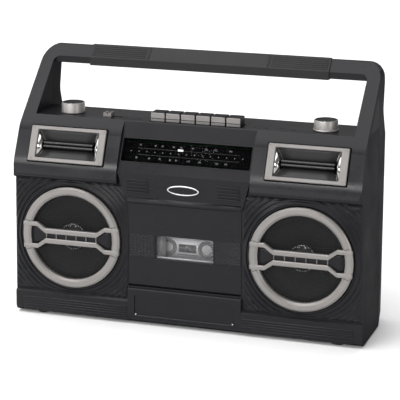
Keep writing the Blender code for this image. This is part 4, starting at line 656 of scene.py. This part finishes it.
BEZEL_STEPS = [
    inset(0.0, 0.0, 1.2, 0.6), inset(0.0, 0.0, 1.2, 2.0), inset(0.6, 0.6, 1.0, 2.6),
    inset(7.4, 3.5, 1.0, 2.6), inset(7.9, 3.9, 1.1, 2.0), inset(8.1, 4.1, 1.2, -1.4),
    inset(2.0, 2.0, 1.0, -1.4), inset(2.0, 2.0, 1.0, 0.6),
]
MARK_STEPS = [(1.3, 1.3, 0.2, 2.5), (1.3, 1.3, 0.2, 2.75), (1.0, 1.0, 0.2, 2.85), (0.6, 0.6, 0.1, 2.65)]


def corner_mark(x, u, v):
    """A small square mark whose middle lies v up the leaning face."""
    point = (HOOD_POINT[0] + v * math.sin(HOOD_LEAN), HOOD_POINT[1] + v * math.cos(HOOD_LEAN))
    return frame_patch(MARK_STEPS, x + u, point, HOOD_LEAN, 3)


def tweeter_frame(label, x):
    """The frame with its marks, and a flat black band of painted shadow round it. The band's two steps would
    be joined twice, so it keeps only the first half of its faces."""
    mark_u, mark_v = BEZEL_WIDE - 3.2, BEZEL_HIGH - 2.6
    marks = [corner_mark(x, u, v) for u in (-mark_u, mark_u) for v in (-mark_v, mark_v)]
    trim = piece("tweeter_trim_" + label, [frame_patch(BEZEL_STEPS, x, HOOD_POINT, HOOD_LEAN)] + marks,
                 "bezel_silver", crease=25)
    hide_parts("tweeter_bezel_" + label)
    # Painted shadow: a flat black band round the frame stands for the shade in the gap between frame and
    # hood.
    points, faces = frame_patch([inset(-1.3, -1.3, 1.6, 0.06), inset(0.4, 0.4, 1.0, 0.06)],
                                x, HOOD_POINT, HOOD_LEAN)
    piece("tweeter_painted_shadow_" + label, [(points, faces[: len(faces) // 2])], "scale_print",
          facing=HOOD_OUT, wall=0.05)


# %% [markdown]
# Behind the frame the horn narrows to a slot. Bright facets at both ends mirror the floor and the dark plates
# in turn, so they are polished metal rather than paint. Three of them meet in one point at each quarter.

# %% Horn plates, facets and bars
HORN_SIDE, HORN_TOP, HORN_FLOOR, HORN_TIP = BEZEL_WIDE - 8.0, BEZEL_HIGH - 4.0, -6.5, 3.0
PLATE_SIDE, BAR_SIDE = HORN_SIDE - 2.2, HORN_SIDE - 7.5
FINISH["dial_print_gloss"] = moulded("gloss_black", (0.008, 0.008, 0.009), 0.16, patch=0.06)
FINISH["horn_grey"] = moulded("horn_grey", (0.02, 0.02, 0.021), 0.42, shine=0.26)
FINISH["facet_silver"] = moulded("facet_silver", (0.4, 0.39, 0.38), 0.16, 1.0, depth=0.004, patch=0.04)


def horn_face(x, *corners, steps=2):
    """A face between four corners (u, v, d) on the hood's lean."""
    return plate_patch(corners, x, HOOD_POINT, HOOD_LEAN, steps, steps)


def horn_plate(x, sign):
    """The plate that slopes from the frame's upper or lower side back to the slot."""
    rim, tip = sign * HORN_TOP, sign * HORN_TIP
    return horn_face(x, (-PLATE_SIDE, rim, 1.0), (PLATE_SIDE, rim, 1.0), (BAR_SIDE, tip, HORN_FLOOR),
                     (-BAR_SIDE, tip, HORN_FLOOR), steps=6)


def end_facets(x, end, sign):
    """The three facets of one quarter: beside the plate, along the frame, and beside the slot."""
    corner = (end * HORN_SIDE, sign * HORN_TOP, 1.0)
    meeting = (end * (HORN_SIDE - 3.5), 0.0, -1.0)
    inner = (end * BAR_SIDE, sign * HORN_TIP, HORN_FLOOR)
    return [
        horn_face(x, corner, (end * PLATE_SIDE, sign * HORN_TOP, 1.0), inner, meeting),
        horn_face(x, corner, (end * HORN_SIDE, 0.0, 1.4), meeting, meeting),
        horn_face(x, inner, (end * BAR_SIDE, 0.0, HORN_FLOOR), meeting, meeting),
    ]


def horn_bar(x, v):
    """A flattened rod along u: v + 1.7 cos t, d = -3.2 + 2.4 sin t, thinned at both ends."""
    t = np.linspace(0.0, 2 * math.pi, 16, endpoint=False)
    u = np.array([-BAR_SIDE - 1.2, -BAR_SIDE - 1.0, BAR_SIDE + 1.0, BAR_SIDE + 1.2])[:, None]
    size = np.array([0.2, 1.0, 1.0, 0.2])[:, None]
    return leaning(u + 0 * t, v + 1.7 * size * np.cos(t), -3.2 + 2.4 * size * np.sin(t), x, HOOD_POINT,
                   HOOD_LEAN, wrap_columns=True)


def tweeter_horn(label, x):
    """Two dark plates, twelve bright facets, a black throat behind the slot, and the double bar."""
    horn = piece("horn_upper_plate_" + label, [horn_plate(x, 1)], "horn_grey",
                 facing=HOOD_OUT, wall=0.4)
    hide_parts("tweeter_horn_" + label)
    piece("horn_lower_plate_" + label, [horn_plate(x, -1)], "horn_grey",
          facing=HOOD_OUT, wall=0.4)
    facets = [facet for sign in (1, -1) for end in (-1, 1) for facet in end_facets(x, end, sign)]
    piece("horn_facets_" + label, facets, "facet_silver", facing=HOOD_OUT,
          wall=0.3, crease=5)
    deep = HORN_FLOOR - 1.5
    throat = horn_face(x, (-HORN_SIDE, 6.0, deep), (HORN_SIDE, 6.0, deep), (HORN_SIDE, -6.0, deep),
                       (-HORN_SIDE, -6.0, deep))
    piece("horn_throat_" + label, [throat], "scale_print", facing=HOOD_OUT, wall=0.4)
    piece("horn_bars_" + label, [horn_bar(x, -1.9), horn_bar(x, 1.9)], "dial_print_gloss")
    print("tweeter", label, "facets:", len(facets))


for label, side in (("left", LEFT), ("right", RIGHT)):
    tweeter_frame(label, side * BEZEL_X)
    tweeter_horn(label, side * BEZEL_X)

# %% [markdown]
# The foot of the cabinet carries fine ribs on both sides of the middle panel. The band under them bends back
# in a quarter circle, so the ribs follow it: each point is moved out along the band's own normal.


# %% Ribbed base band
def base_ribs(label, side):
    """Heights run 3 to 19.6 mm. Below 9.2 mm the band is a quarter circle of radius 8, so its normal turns
    by the angle whose sine is (9.2 - z) / 8. Each rib is a raised cosine of pitch 2.75 mm."""
    z = np.linspace(3.0, 19.6, 110)
    sine = np.clip((9.2 - z) / 8.0, 0.0, 1.0)
    cosine = np.sqrt(1.0 - sine * sine)
    out = 0.12 + 0.6 * np.clip(0.75 - np.cos((z - 3.0) / 2.75 * 2 * math.pi), 0.0, 1.0)
    depth = 5.0 - 8.0 * cosine - out * cosine
    x = side * np.array([62.8, 63.4, 180.4, 181.0])
    fade = np.array([0.0, 1.0, 1.0, 0.0])[:, None]
    flat = 5.0 - 8.0 * cosine - 0.05
    sheet = grid(x[:, None] + 0 * z, flat + (depth - flat) * fade, 9.2 * (sine > 0) + z * (sine <= 0)
                 - (8.0 + out) * sine * (sine > 0) + 0 * fade)
    piece("base_ribs_" + label, [sheet], "cabinet_black", facing=FORWARD, wall=0.3, crease=50)


for label, side in (("left", LEFT), ("right", RIGHT)):
    base_ribs(label, side)

# %% [markdown]
# The badge is a plain oval with a bright rim, on a panel that leans forwards a little. Five soft ribs stand
# on each side of it. The rim is a path of ovals joined up, so it needs no cutting.

# %% Badge and its ribs
BADGE_LEAN = -math.atan2(3.0, 30.4)
BADGE_POINT = (-3.68, 149.6)


def oval(rings, steps=72):
    """Rings of (half width, half height, d) joined up: u = a cos t, v = b sin t."""
    half_u, half_v, out = np.array(rings, float).T
    turn = np.linspace(0.0, 2 * math.pi, steps, endpoint=False)
    return leaning(half_u[:, None] * np.cos(turn), half_v[:, None] * np.sin(turn), out[:, None] + 0 * turn,
                   0.0, BADGE_POINT, BADGE_LEAN, wrap_columns=True)


FINISH["bright_rim"] = moulded("bright_rim", (0.72, 0.72, 0.72), 0.22, 0.6, depth=0.01)
RIM_RINGS = [
    (17.0, 5.25, 0.1), (17.0, 5.25, 0.7), (16.7, 4.95, 1.0),
    (15.9, 4.2, 1.0), (15.6, 3.9, 0.6), (15.6, 3.9, 0.1),
]
rim = piece("badge_rim", [oval(RIM_RINGS)], "bright_rim", facing=FORWARD)
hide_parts("badge")
piece("badge_field", [oval([(15.7, 4.0, 0.55), (12.0, 3.0, 0.85), (6.0, 1.5, 1.0), (0.02, 0.02, 1.05)])],
      "panel_black", facing=FORWARD, wall=0.4)


def badge_rib(low, high, v):
    """A half-round rib: v + 0.95 cos t, d = 0.75 sin t, thinned to nothing over its last 1.5 mm."""
    turn = np.linspace(0.0, math.pi, 9)
    u = np.array([low, low + 0.4, low + 1.5, high - 1.5, high - 0.4, high])[:, None]
    size = np.array([0.05, 0.6, 1.0, 1.0, 0.6, 0.05])[:, None]
    return leaning(u + 0 * turn, v + 0.95 * size * np.cos(turn), 0.05 + 0.75 * size * np.sin(turn),
                   0.0, BADGE_POINT, BADGE_LEAN)


RIB_ENDS = ((-62.0, -37.0), (36.0, 61.0))
rib_heights = np.arange(5) * 3.4 - 6.0
badge_ribs = [badge_rib(*ends, v) for v in rib_heights for ends in RIB_ENDS]
piece("badge_ribs", badge_ribs, "panel_black", facing=FORWARD, crease=60)
print("badge ribs:", len(badge_ribs))

# %% [markdown]
# A narrow polished strip leans over the door, two bright pins mark the ends of the lower panel, and a small
# ledge runs under it. Each is an open sheet a few points high, carried straight across the front.


# %% Polished strip over the door, and the lower panel's pins and ledge
def across_front(half, depths, heights):
    """A sheet from -half to half in x. Each of its rows lies at one depth and one height."""
    x = np.array([[-half, half]])
    return grid(x, np.array(depths)[:, None], np.array(heights)[:, None])


strip = across_front(61.4, (-2.75, -2.02), (133.3, 138.2))
piece("door_strip", [strip], "hood_black", facing=FORWARD, wall=0.3)
pin = [(0.02, -3.4), (0.45, -3.3), (0.75, -2.9), (0.75, -1.9)]
pins = [lathe(pin, (x, 11.4), "Y", 16) for x in (-53.2, 53.2)]
piece("lower_pins", pins, "bright_rim", facing=FORWARD)
ledge = across_front(54.0, (-1.9, -2.6, -3.05), (10.9, 10.5, 9.9))
piece("lower_ledge", [ledge], "cabinet_black", facing=(0, -1, 1))

# %% [markdown]
# The dial is a black card behind a clear window. On it are printed two rows of station numbers, two
# hairlines and a row of dots. A short white pointer on a dark stem hangs in front of the card and rides with
# the tuning. The numbers are real faces rather than a picture, so they stay sharp at any distance.

# %% Dial print and pointer
FM_NUMBERS = ("88", "90", "92", "94", "96", "98", "102", "106", "108")
FM_PLACES = (-51.5, -35.5, -27.5, -15.5, -7.5, 5.0, 19.5, 29.0, 45.5)
AM_NUMBERS = ("53", "60", "70", "80", "90", "110", "130", "150", "170")
AM_PLACES = (-54.0, -40.5, -29.0, -17.5, -11.0, 2.0, 14.0, 32.5, 42.0)
CARD_OUT = -4.05


def number_patch(digits, u, v, size=2.3):
    """A number as flat triangles, centred on (u, v) of the leaning card."""
    curve = bpy.data.curves.new("number_" + digits, "FONT")
    curve.body = digits
    curve.size = size * MM
    curve.align_x, curve.align_y = "CENTER", "CENTER"
    curve.resolution_u = 3
    words = bpy.data.objects.new("number_" + digits, curve)
    flat = bpy.data.meshes.new_from_object(words)
    bpy.data.objects.remove(words)
    flat.calc_loop_triangles()
    points = np.empty(len(flat.vertices) * 3)
    flat.vertices.foreach_get("co", points)
    faces = np.empty(len(flat.loop_triangles) * 3, int)
    flat.loop_triangles.foreach_get("vertices", faces)
    points = points.reshape(-1, 3) / MM
    across, along = (u + points[:, 0])[None, :], (v + points[:, 1])[None, :]
    place, _ = leaning(across, along, CARD_OUT, 0.0, DIAL_POINT, DIAL_LEAN)
    return place, faces.reshape(-1, 3)


def flat_patch(low_u, high_u, low_v, high_v, out=CARD_OUT):
    """A flat rectangle on the leaning card."""
    u = np.array([[low_u, high_u], [low_u, high_u]])
    v = np.array([[low_v, low_v], [high_v, high_v]])
    return leaning(u, v, out, 0.0, DIAL_POINT, DIAL_LEAN)


DIAL_OUT = (0, -math.cos(DIAL_LEAN), math.sin(DIAL_LEAN))
FINISH["dial_print"] = moulded("dial_print", (0.25, 0.25, 0.26), 0.6, depth=0.005)
FINISH["dial_stem"] = moulded("dial_stem", (0.004, 0.004, 0.004), 0.6, depth=0.005, shine=0.1)
FINISH["dial_hairline"] = moulded("dial_hairline", (0.018, 0.018, 0.019), 0.6, depth=0.005)
print_patches = [number_patch(text, u, 6.9) for text, u in zip(FM_NUMBERS, FM_PLACES)]
print_patches += [number_patch(text, u, -6.9) for text, u in zip(AM_NUMBERS, AM_PLACES)]
print_patches += [flat_patch(u - 0.4, u + 0.4, -0.4, 0.4) for u in -61.0 + 8.6 * np.arange(15)]
piece("dial_numbers", print_patches, "dial_print", facing=DIAL_OUT)
piece("dial_hairlines", [flat_patch(-54.0, 56.0, v - 0.18, v + 0.18) for v in (3.4, -3.4)],
      "dial_hairline", facing=DIAL_OUT)


def block(half_u, half_v, out, u, v):
    """A bevelled block standing on a leaning plane: nested rectangles from its foot to its top."""
    steps = [(half_u, half_v, 0.1, out[0]), (half_u, half_v, 0.1, out[1] - 0.25),
             (half_u - 0.25, half_v - 0.25, 0.1, out[1]), (0.02, 0.02, 0.01, out[1])]
    paths = [rounded_path(a, b, r, 3) for a, b, r, _ in steps]
    us = u + np.stack([path[0] for path in paths])
    vs = v + np.stack([path[1] for path in paths])
    heights = np.array([step[3] for step in steps])[:, None]
    return leaning(us, vs, heights, 0.0, DIAL_POINT, DIAL_LEAN, wrap_columns=True)


tip = piece("pointer_tip", [block(2.9, 1.05, (-3.6, -2.9), -7.4, 3.8)], "pointer_white",
            body="dial_pointer", facing=DIAL_OUT)
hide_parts("dial_pointer")
piece("pointer_stem", [block(0.45, 7.6, (-3.6, -3.2), -7.4, -1.4)], "dial_stem", body="dial_pointer",
      facing=DIAL_OUT)
lid_corners = [(-69.0, 12.6, -2.7), (69.0, 12.6, -2.7), (69.0, 12.6, -5.0), (-69.0, 12.6, -5.0)]
lid = plate_patch(lid_corners, 0.0, DIAL_POINT, DIAL_LEAN)
piece("dial_lid", [lid], "scale_print", facing=(0, -math.sin(DIAL_LEAN), -math.cos(DIAL_LEAN)), wall=0.3)
DIAL_RIM_STEPS = [
    (70.1, 12.95, 1.6, -0.1), (70.0, 12.85, 1.5, 0.35), (69.5, 12.35, 1.2, 0.35), (69.3, 12.15, 1.1, -0.1),
]
piece("dial_rim", [frame_patch(DIAL_RIM_STEPS, 0.0, DIAL_POINT, DIAL_LEAN)], "hood_black")
print("dial prints:", len(print_patches))

# %% [markdown]
# A band of fine chevron relief crosses the door on both sides of its window. Behind the window lies the tape:
# a grey label with a pale top edge, two hubs with six teeth each, and a dark window between them.


# %% Door relief, window rim and the tape
def chevron_band(label, low, high):
    """Depth = -0.12 - 0.3 x raised cosine of (z + zigzag of x) / 1.9 mm, flat on its last 0.6 mm."""
    x = np.linspace(low, high, 96)[:, None]
    z = np.linspace(73.4, 98.2, 105)[None, :]
    zigzag = np.abs(np.mod(x / 3.8, 1.0) - 0.5) * 2.6
    relief = 0.5 + 0.5 * np.cos((z + zigzag) / 1.9 * 2 * math.pi)
    edge = np.clip(np.minimum(np.minimum(x - low, high - x), np.minimum(z - 73.4, 98.2 - z)) / 0.6, 0.0, 1.0)
    piece("door_relief_" + label, [grid(x, -0.12 - 0.3 * relief * edge, z)], "cabinet_black",
          body="cassette_door", facing=FORWARD, wall=0.1, crease=70)


chevron_band("left", -60.9, -32.6)
chevron_band("right", 32.6, 60.9)
WINDOW_POINT = (0.0, 85.8)
WINDOW_STEPS = [
    (32.3, 13.5, 2.4, -0.2), (32.3, 13.5, 2.4, 0.15), (31.9, 13.1, 2.1, 0.35),
    (31.3, 12.6, 1.8, 0.1), (31.3, 12.6, 1.8, -0.2),
]
piece("window_rim", [frame_patch(WINDOW_STEPS, 0.0, WINDOW_POINT, 0.0)], "panel_black", body="cassette_door")


def tape_plate(low, high, bottom, top, depth):
    """An upright rectangle at one depth."""
    return grid(np.array([[low, high], [low, high]]), depth, np.array([[bottom, bottom], [top, top]]))


FINISH["tape_label"] = moulded("tape_label", (0.5, 0.5, 0.51), 0.35, grain=700.0, depth=0.02)
FINISH["tape_edge"] = moulded("tape_edge", (0.9, 0.9, 0.9), 0.25, grain=700.0, depth=0.01)
FINISH["tape_dark"] = moulded("tape_dark", (0.09, 0.085, 0.083), 0.3, grain=700.0, depth=0.02)
FINISH["hub_white"] = moulded("hub_white", (0.5, 0.49, 0.48), 0.35, grain=500.0, depth=0.02)
HUB_Z = 84.8
hub_sides = (-21.25, 21.25)
window_disc = [(5.5, 9.75), (9.6, 9.75), (9.6, 9.6), (9.2, 9.5), (5.9, 9.5), (5.5, 9.75)]
piece("tape_label", [tape_plate(-42.0, 42.0, 76.0, 97.6, 9.85)], "tape_label", body="cassette_door",
      facing=FORWARD, wall=0.1)
piece("tape_top_edge", [tape_plate(-42.0, 42.0, 95.6, 97.8, 9.7)], "tape_edge", body="cassette_door",
      facing=FORWARD, wall=0.1)
piece("tape_window", [tape_plate(-9.5, 9.5, 80.2, 88.6, 9.7), tape_plate(-11.0, 11.0, 77.4, 78.1, 9.7)]
      + [lathe(window_disc, (x, HUB_Z), "Y", 48) for x in hub_sides],
      "tape_dark", body="cassette_door", facing=FORWARD, wall=0.08)


def hub_patch(x):
    """A toothed ring: its inner radius is 4.4 less 1.5 mm inside each of six teeth, and its outer is 5.2."""
    turn = np.linspace(0.0, 2 * math.pi, 96, endpoint=False)
    tooth = np.clip(3.0 * np.cos(6 * turn) - 1.6, 0.0, 1.0)
    inner = 4.4 - 1.5 * tooth
    radius = np.stack((inner, inner, 0 * turn + 5.2, 0 * turn + 5.2))
    depth = np.array([10.8, 9.9, 9.9, 10.8])[:, None] + 0 * turn
    across, along = x + radius * np.cos(turn), HUB_Z + radius * np.sin(turn)
    return grid(across, depth, along, wrap_rows=True, wrap_columns=True)


piece("supply_hub", [hub_patch(-21.25)], "hub_white", body="supply_reel")
piece("take_up_hub", [hub_patch(21.25)], "hub_white", body="take_up_reel")
# A dark grey plate in front of the label's left side stands for the door's inner rib, and its grey is painted
# shade over that part of the label.
piece("door_rib_painted_shade", [tape_plate(-31.0, -21.5, 73.6, 98.0, 3.2)], "tape_dark", body="cassette_door",
      facing=FORWARD, wall=0.6)
piece("door_inner_sill", [tape_plate(-31.0, 31.0, 73.6, 75.2, 3.0)], "tape_label", body="cassette_door",
      facing=FORWARD, wall=0.6)

# %% [markdown]
# The keys are dark blocks with a silver plate on the front of each, and a step below it whose darker silver
# is painted shade. The step stands back far enough to clear the shelf's edge when the key goes down. Each
# plate is one section carried along X, and its ends are drawn in to a point so that the plate is closed.


# %% Key plates
def carried(section, stations, sizes):
    """A closed section of (depth, z) points carried along X, and shrunk towards its middle by each size."""
    section = np.array(section, float)
    middle = section.mean(axis=0)
    x = np.array(stations, float)[:, None]
    size = np.array(sizes, float)[:, None]
    depth = middle[0] + size * (section[:, 0] - middle[0])[None, :]
    z = middle[1] + size * (section[:, 1] - middle[1])[None, :]
    return grid(x + 0 * depth, depth, z, wrap_columns=True)


KEYS = ("record", "play", "rewind", "fast_forward", "stop_eject", "pause")
KEY_PITCH = 16.3
PLATE = [(24.05, 222.4), (23.7, 222.5), (23.35, 222.1), (23.35, 217.2), (23.6, 216.9), (24.05, 216.8)]
LOWER_PLATE = [(24.0, 216.6), (23.0, 216.3), (22.85, 216.1), (22.85, 213.9), (24.0, 213.8)]
# The step's silver is darker than the plate's as painted shade on the step.
FINISH["key_painted_shade"] = moulded("key_painted_shade", (0.155, 0.147, 0.143), 0.42, 0.6, grain=1800.0, depth=0.03)
for index, label in enumerate(KEYS):
    middle = 4.0 + (index - 2.5) * KEY_PITCH
    ends = [middle - 7.3, middle - 7.3, middle - 7.05, middle + 7.05, middle + 7.3, middle + 7.3]
    sizes = [0.0, 0.94, 1.0, 1.0, 0.94, 0.0]
    paint(nodes["key_" + label], FINISH["panel_black"])
    piece("key_plate_" + label, [carried(PLATE, ends, sizes)], "key_silver", body="key_" + label)
    piece("key_step_" + label, [carried(LOWER_PLATE, ends, sizes)], "key_painted_shade", body="key_" + label)
print("keys:", len(KEYS))

# %% [markdown]
# The knobs have silver sides and a dark dished top with a fine mark, and a turned profile gives both. A dark
# wedge points along the shelf from the switch, clear of the slot that its stem slides in.

# %% Knobs and switch
FINISH["knob_silver"] = moulded("knob_silver", (0.31, 0.295, 0.285), 0.4, 0.55, grain=2200.0, depth=0.03)


def knob_pieces(name, side, foot):
    """A turned side with a bevelled rim, and a dished top whose middle is 0.9 mm lower than its edge."""
    centre = (side * 137.3, 40.0)
    wall = [
        (foot, 213.8), (foot, 214.8), (12.3, 215.6), (12.25, 223.4),
        (11.9, 224.3), (11.2, 224.6), (10.9, 224.3),
    ]
    dish = [(10.95, 224.35), (10.6, 223.9), (7.0, 223.6), (3.0, 223.5), (0.02, 223.5)]
    skin = piece(name + "_side", [lathe(wall, centre, "Z", 96)], "knob_silver", body=name,
                 wall=0.5, crease=28)
    piece(name + "_top", [lathe(dish, centre, "Z", 64)], "panel_black", body=name,
          facing=UPWARD, wall=0.3)
    mark_x = centre[0] + np.array([[-0.35, 0.35], [-0.35, 0.35]])
    mark_y = centre[1] + np.array([[-10.0, -10.0], [-5.5, -5.5]])
    mark = grid(mark_x, mark_y, 224.0)
    piece(name + "_mark", [mark], "pointer_white", body=name, facing=UPWARD, wall=0.15)
    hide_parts(name)


knob_pieces("volume_knob", LEFT, 12.5)
knob_pieces("tuning_knob", RIGHT, 13.1)
arrow = grid(np.array([[-82.2, -76.4], [-82.2, -76.4]]), np.array([[29.8, 31.95], [34.2, 32.05]]), 213.62)
piece("switch_arrow", [arrow], "scale_print", facing=UPWARD, wall=0.1)


def shelf_oval(x, half_u, half_v):
    """A raised oval line on the shelf: a rounded outline with a low round section."""
    turn = np.linspace(0.0, 2 * math.pi, 48, endpoint=False)
    offset = np.array([-0.4, -0.2, 0.2, 0.4])[:, None]
    height = np.array([0.02, 0.2, 0.2, 0.02])[:, None]
    return grid(x + (half_u + offset) * np.cos(turn), 30.0 + (half_v + offset) * np.sin(turn),
                213.5 + height + 0 * turn, wrap_columns=True)


piece("shelf_marks", [shelf_oval(-66.0, 9.0, 4.0), shelf_oval(72.0, 8.0, 4.0), shelf_oval(100.0, 8.0, 4.0)],
      "cabinet_black", facing=UPWARD)

# %% [markdown]
# The grip is a snap-on sleeve. Six fine ridges run along its slanted face near both ends, each zone closed by
# an upright band, and the middle is smooth.

# %% Ridged grip
GRIP_POINT = (77.84, 273.16)
GRIP_LEAN = math.radians(45.0)


def grip_ridge(low, high, v, width=0.75, out=0.5):
    """A half-round ridge: v + width cos t, d = out sin t, thinned to nothing over its last 1.2 mm."""
    turn = np.linspace(0.0, math.pi, 9)
    u = np.array([low, low + 0.3, low + 1.2, high - 1.2, high - 0.3, high])[:, None]
    size = np.array([0.05, 0.6, 1.0, 1.0, 0.6, 0.05])[:, None]
    return leaning(u + 0 * turn, v + width * size * np.cos(turn), 0.02 + out * size * np.sin(turn),
                   0.0, GRIP_POINT, GRIP_LEAN)


softened("handle_grip", 0.5, "grip_black", zoned=True)
RIDGE_ENDS = ((-129.5, -68.5), (68.5, 129.5))
ridges = [grip_ridge(*ends, v) for v in np.linspace(-6.0, 6.0, 6) for ends in RIDGE_ENDS]
piece("grip_ridges", ridges, "grip_black", facing=(0, -1, 1), crease=60)


def grip_band(u):
    """An upright half-round band across the slanted face: u + 1.4 cos t, d = 0.45 sin t."""
    turn = np.linspace(0.0, math.pi, 9)
    v = np.array([-7.6, -7.2, 7.2, 7.6])[:, None]
    size = np.array([0.1, 1.0, 1.0, 0.1])[:, None]
    across, out = u + 1.4 * size * np.cos(turn), 0.02 + 0.45 * size * np.sin(turn)
    return leaning(across, v + 0 * turn, out, 0.0, GRIP_POINT, GRIP_LEAN)


piece("grip_bands", [grip_band(-65.5), grip_band(65.5)], "grip_black", facing=(0, -1, 1), crease=60)
print("grip ridges:", len(ridges))

# %% [markdown]
# Behind, the cabinet is held by six screws. Their turned profiles lie level with the wall or just behind its
# face, because nothing may stand past the CAD box, so they hardly show. Two groups of slots let out the
# warmth of the transformer, and the battery cover has finger ribs over its latch.


# %% Screws, slots and cover ribs at the rear
REAR_WALL = 99.9


def rear_disc(profile, x, z, steps=32):
    """A turned piece on the rear wall: the profile's place counts outwards from the wall."""
    radius, out = np.array(profile, float).T
    return lathe(np.stack((radius, REAR_WALL + out), axis=1), (x, z), "Y", steps)


SCREWS = [(-150.0, 24.0), (150.0, 60.0), (-150.0, 176.0), (150.0, 176.0), (0.0, 176.0), (0.0, 100.0)]
WELL = [(4.6, -0.2), (4.5, 0.0), (4.3, 0.0), (3.6, -0.15)]
SCREW_HEAD = [(3.4, -0.2), (3.3, -0.05), (2.4, -0.02), (0.9, 0.0), (0.7, -0.3), (0.02, -0.3)]
piece("screw_wells", [rear_disc(WELL, x, z) for x, z in SCREWS], "cabinet_black", facing=REARWARD)
piece("rear_screws", [rear_disc(SCREW_HEAD, x, z) for x, z in SCREWS], "steel", facing=REARWARD)


def slot_patch(x, z, half=15.0):
    """A dark slot with rounded ends lying on the rear wall."""
    u, v = rounded_path(half, 0.9, 0.85, 4)
    ring = np.array([1.0, 0.5, 0.001])[:, None]
    return grid(x + u * ring, REAR_WALL + 0 * u * ring, z + v * ring, wrap_columns=True)


slots = [slot_patch(x, z) for x in (-96.0, 96.0) for z in np.arange(9) * 4.6 + 116.0]
piece("rear_slots", slots, "scale_print", facing=REARWARD)


def cover_rib(z):
    """A three-sided rib across the battery cover, closed to a point at both ends."""
    return carried([(99.5, z - 0.6), (99.88, z), (99.5, z + 0.6)], [-14, -14, 14, 14], [0, 1, 1, 0])


cover_ribs = [cover_rib(z) for z in np.arange(5) * 2.2 + 70.0]
piece("cover_ribs", cover_ribs, "cabinet_black", body="battery_cover")
print("rear: screws", len(SCREWS), "slots", len(slots), "ribs", len(cover_ribs))
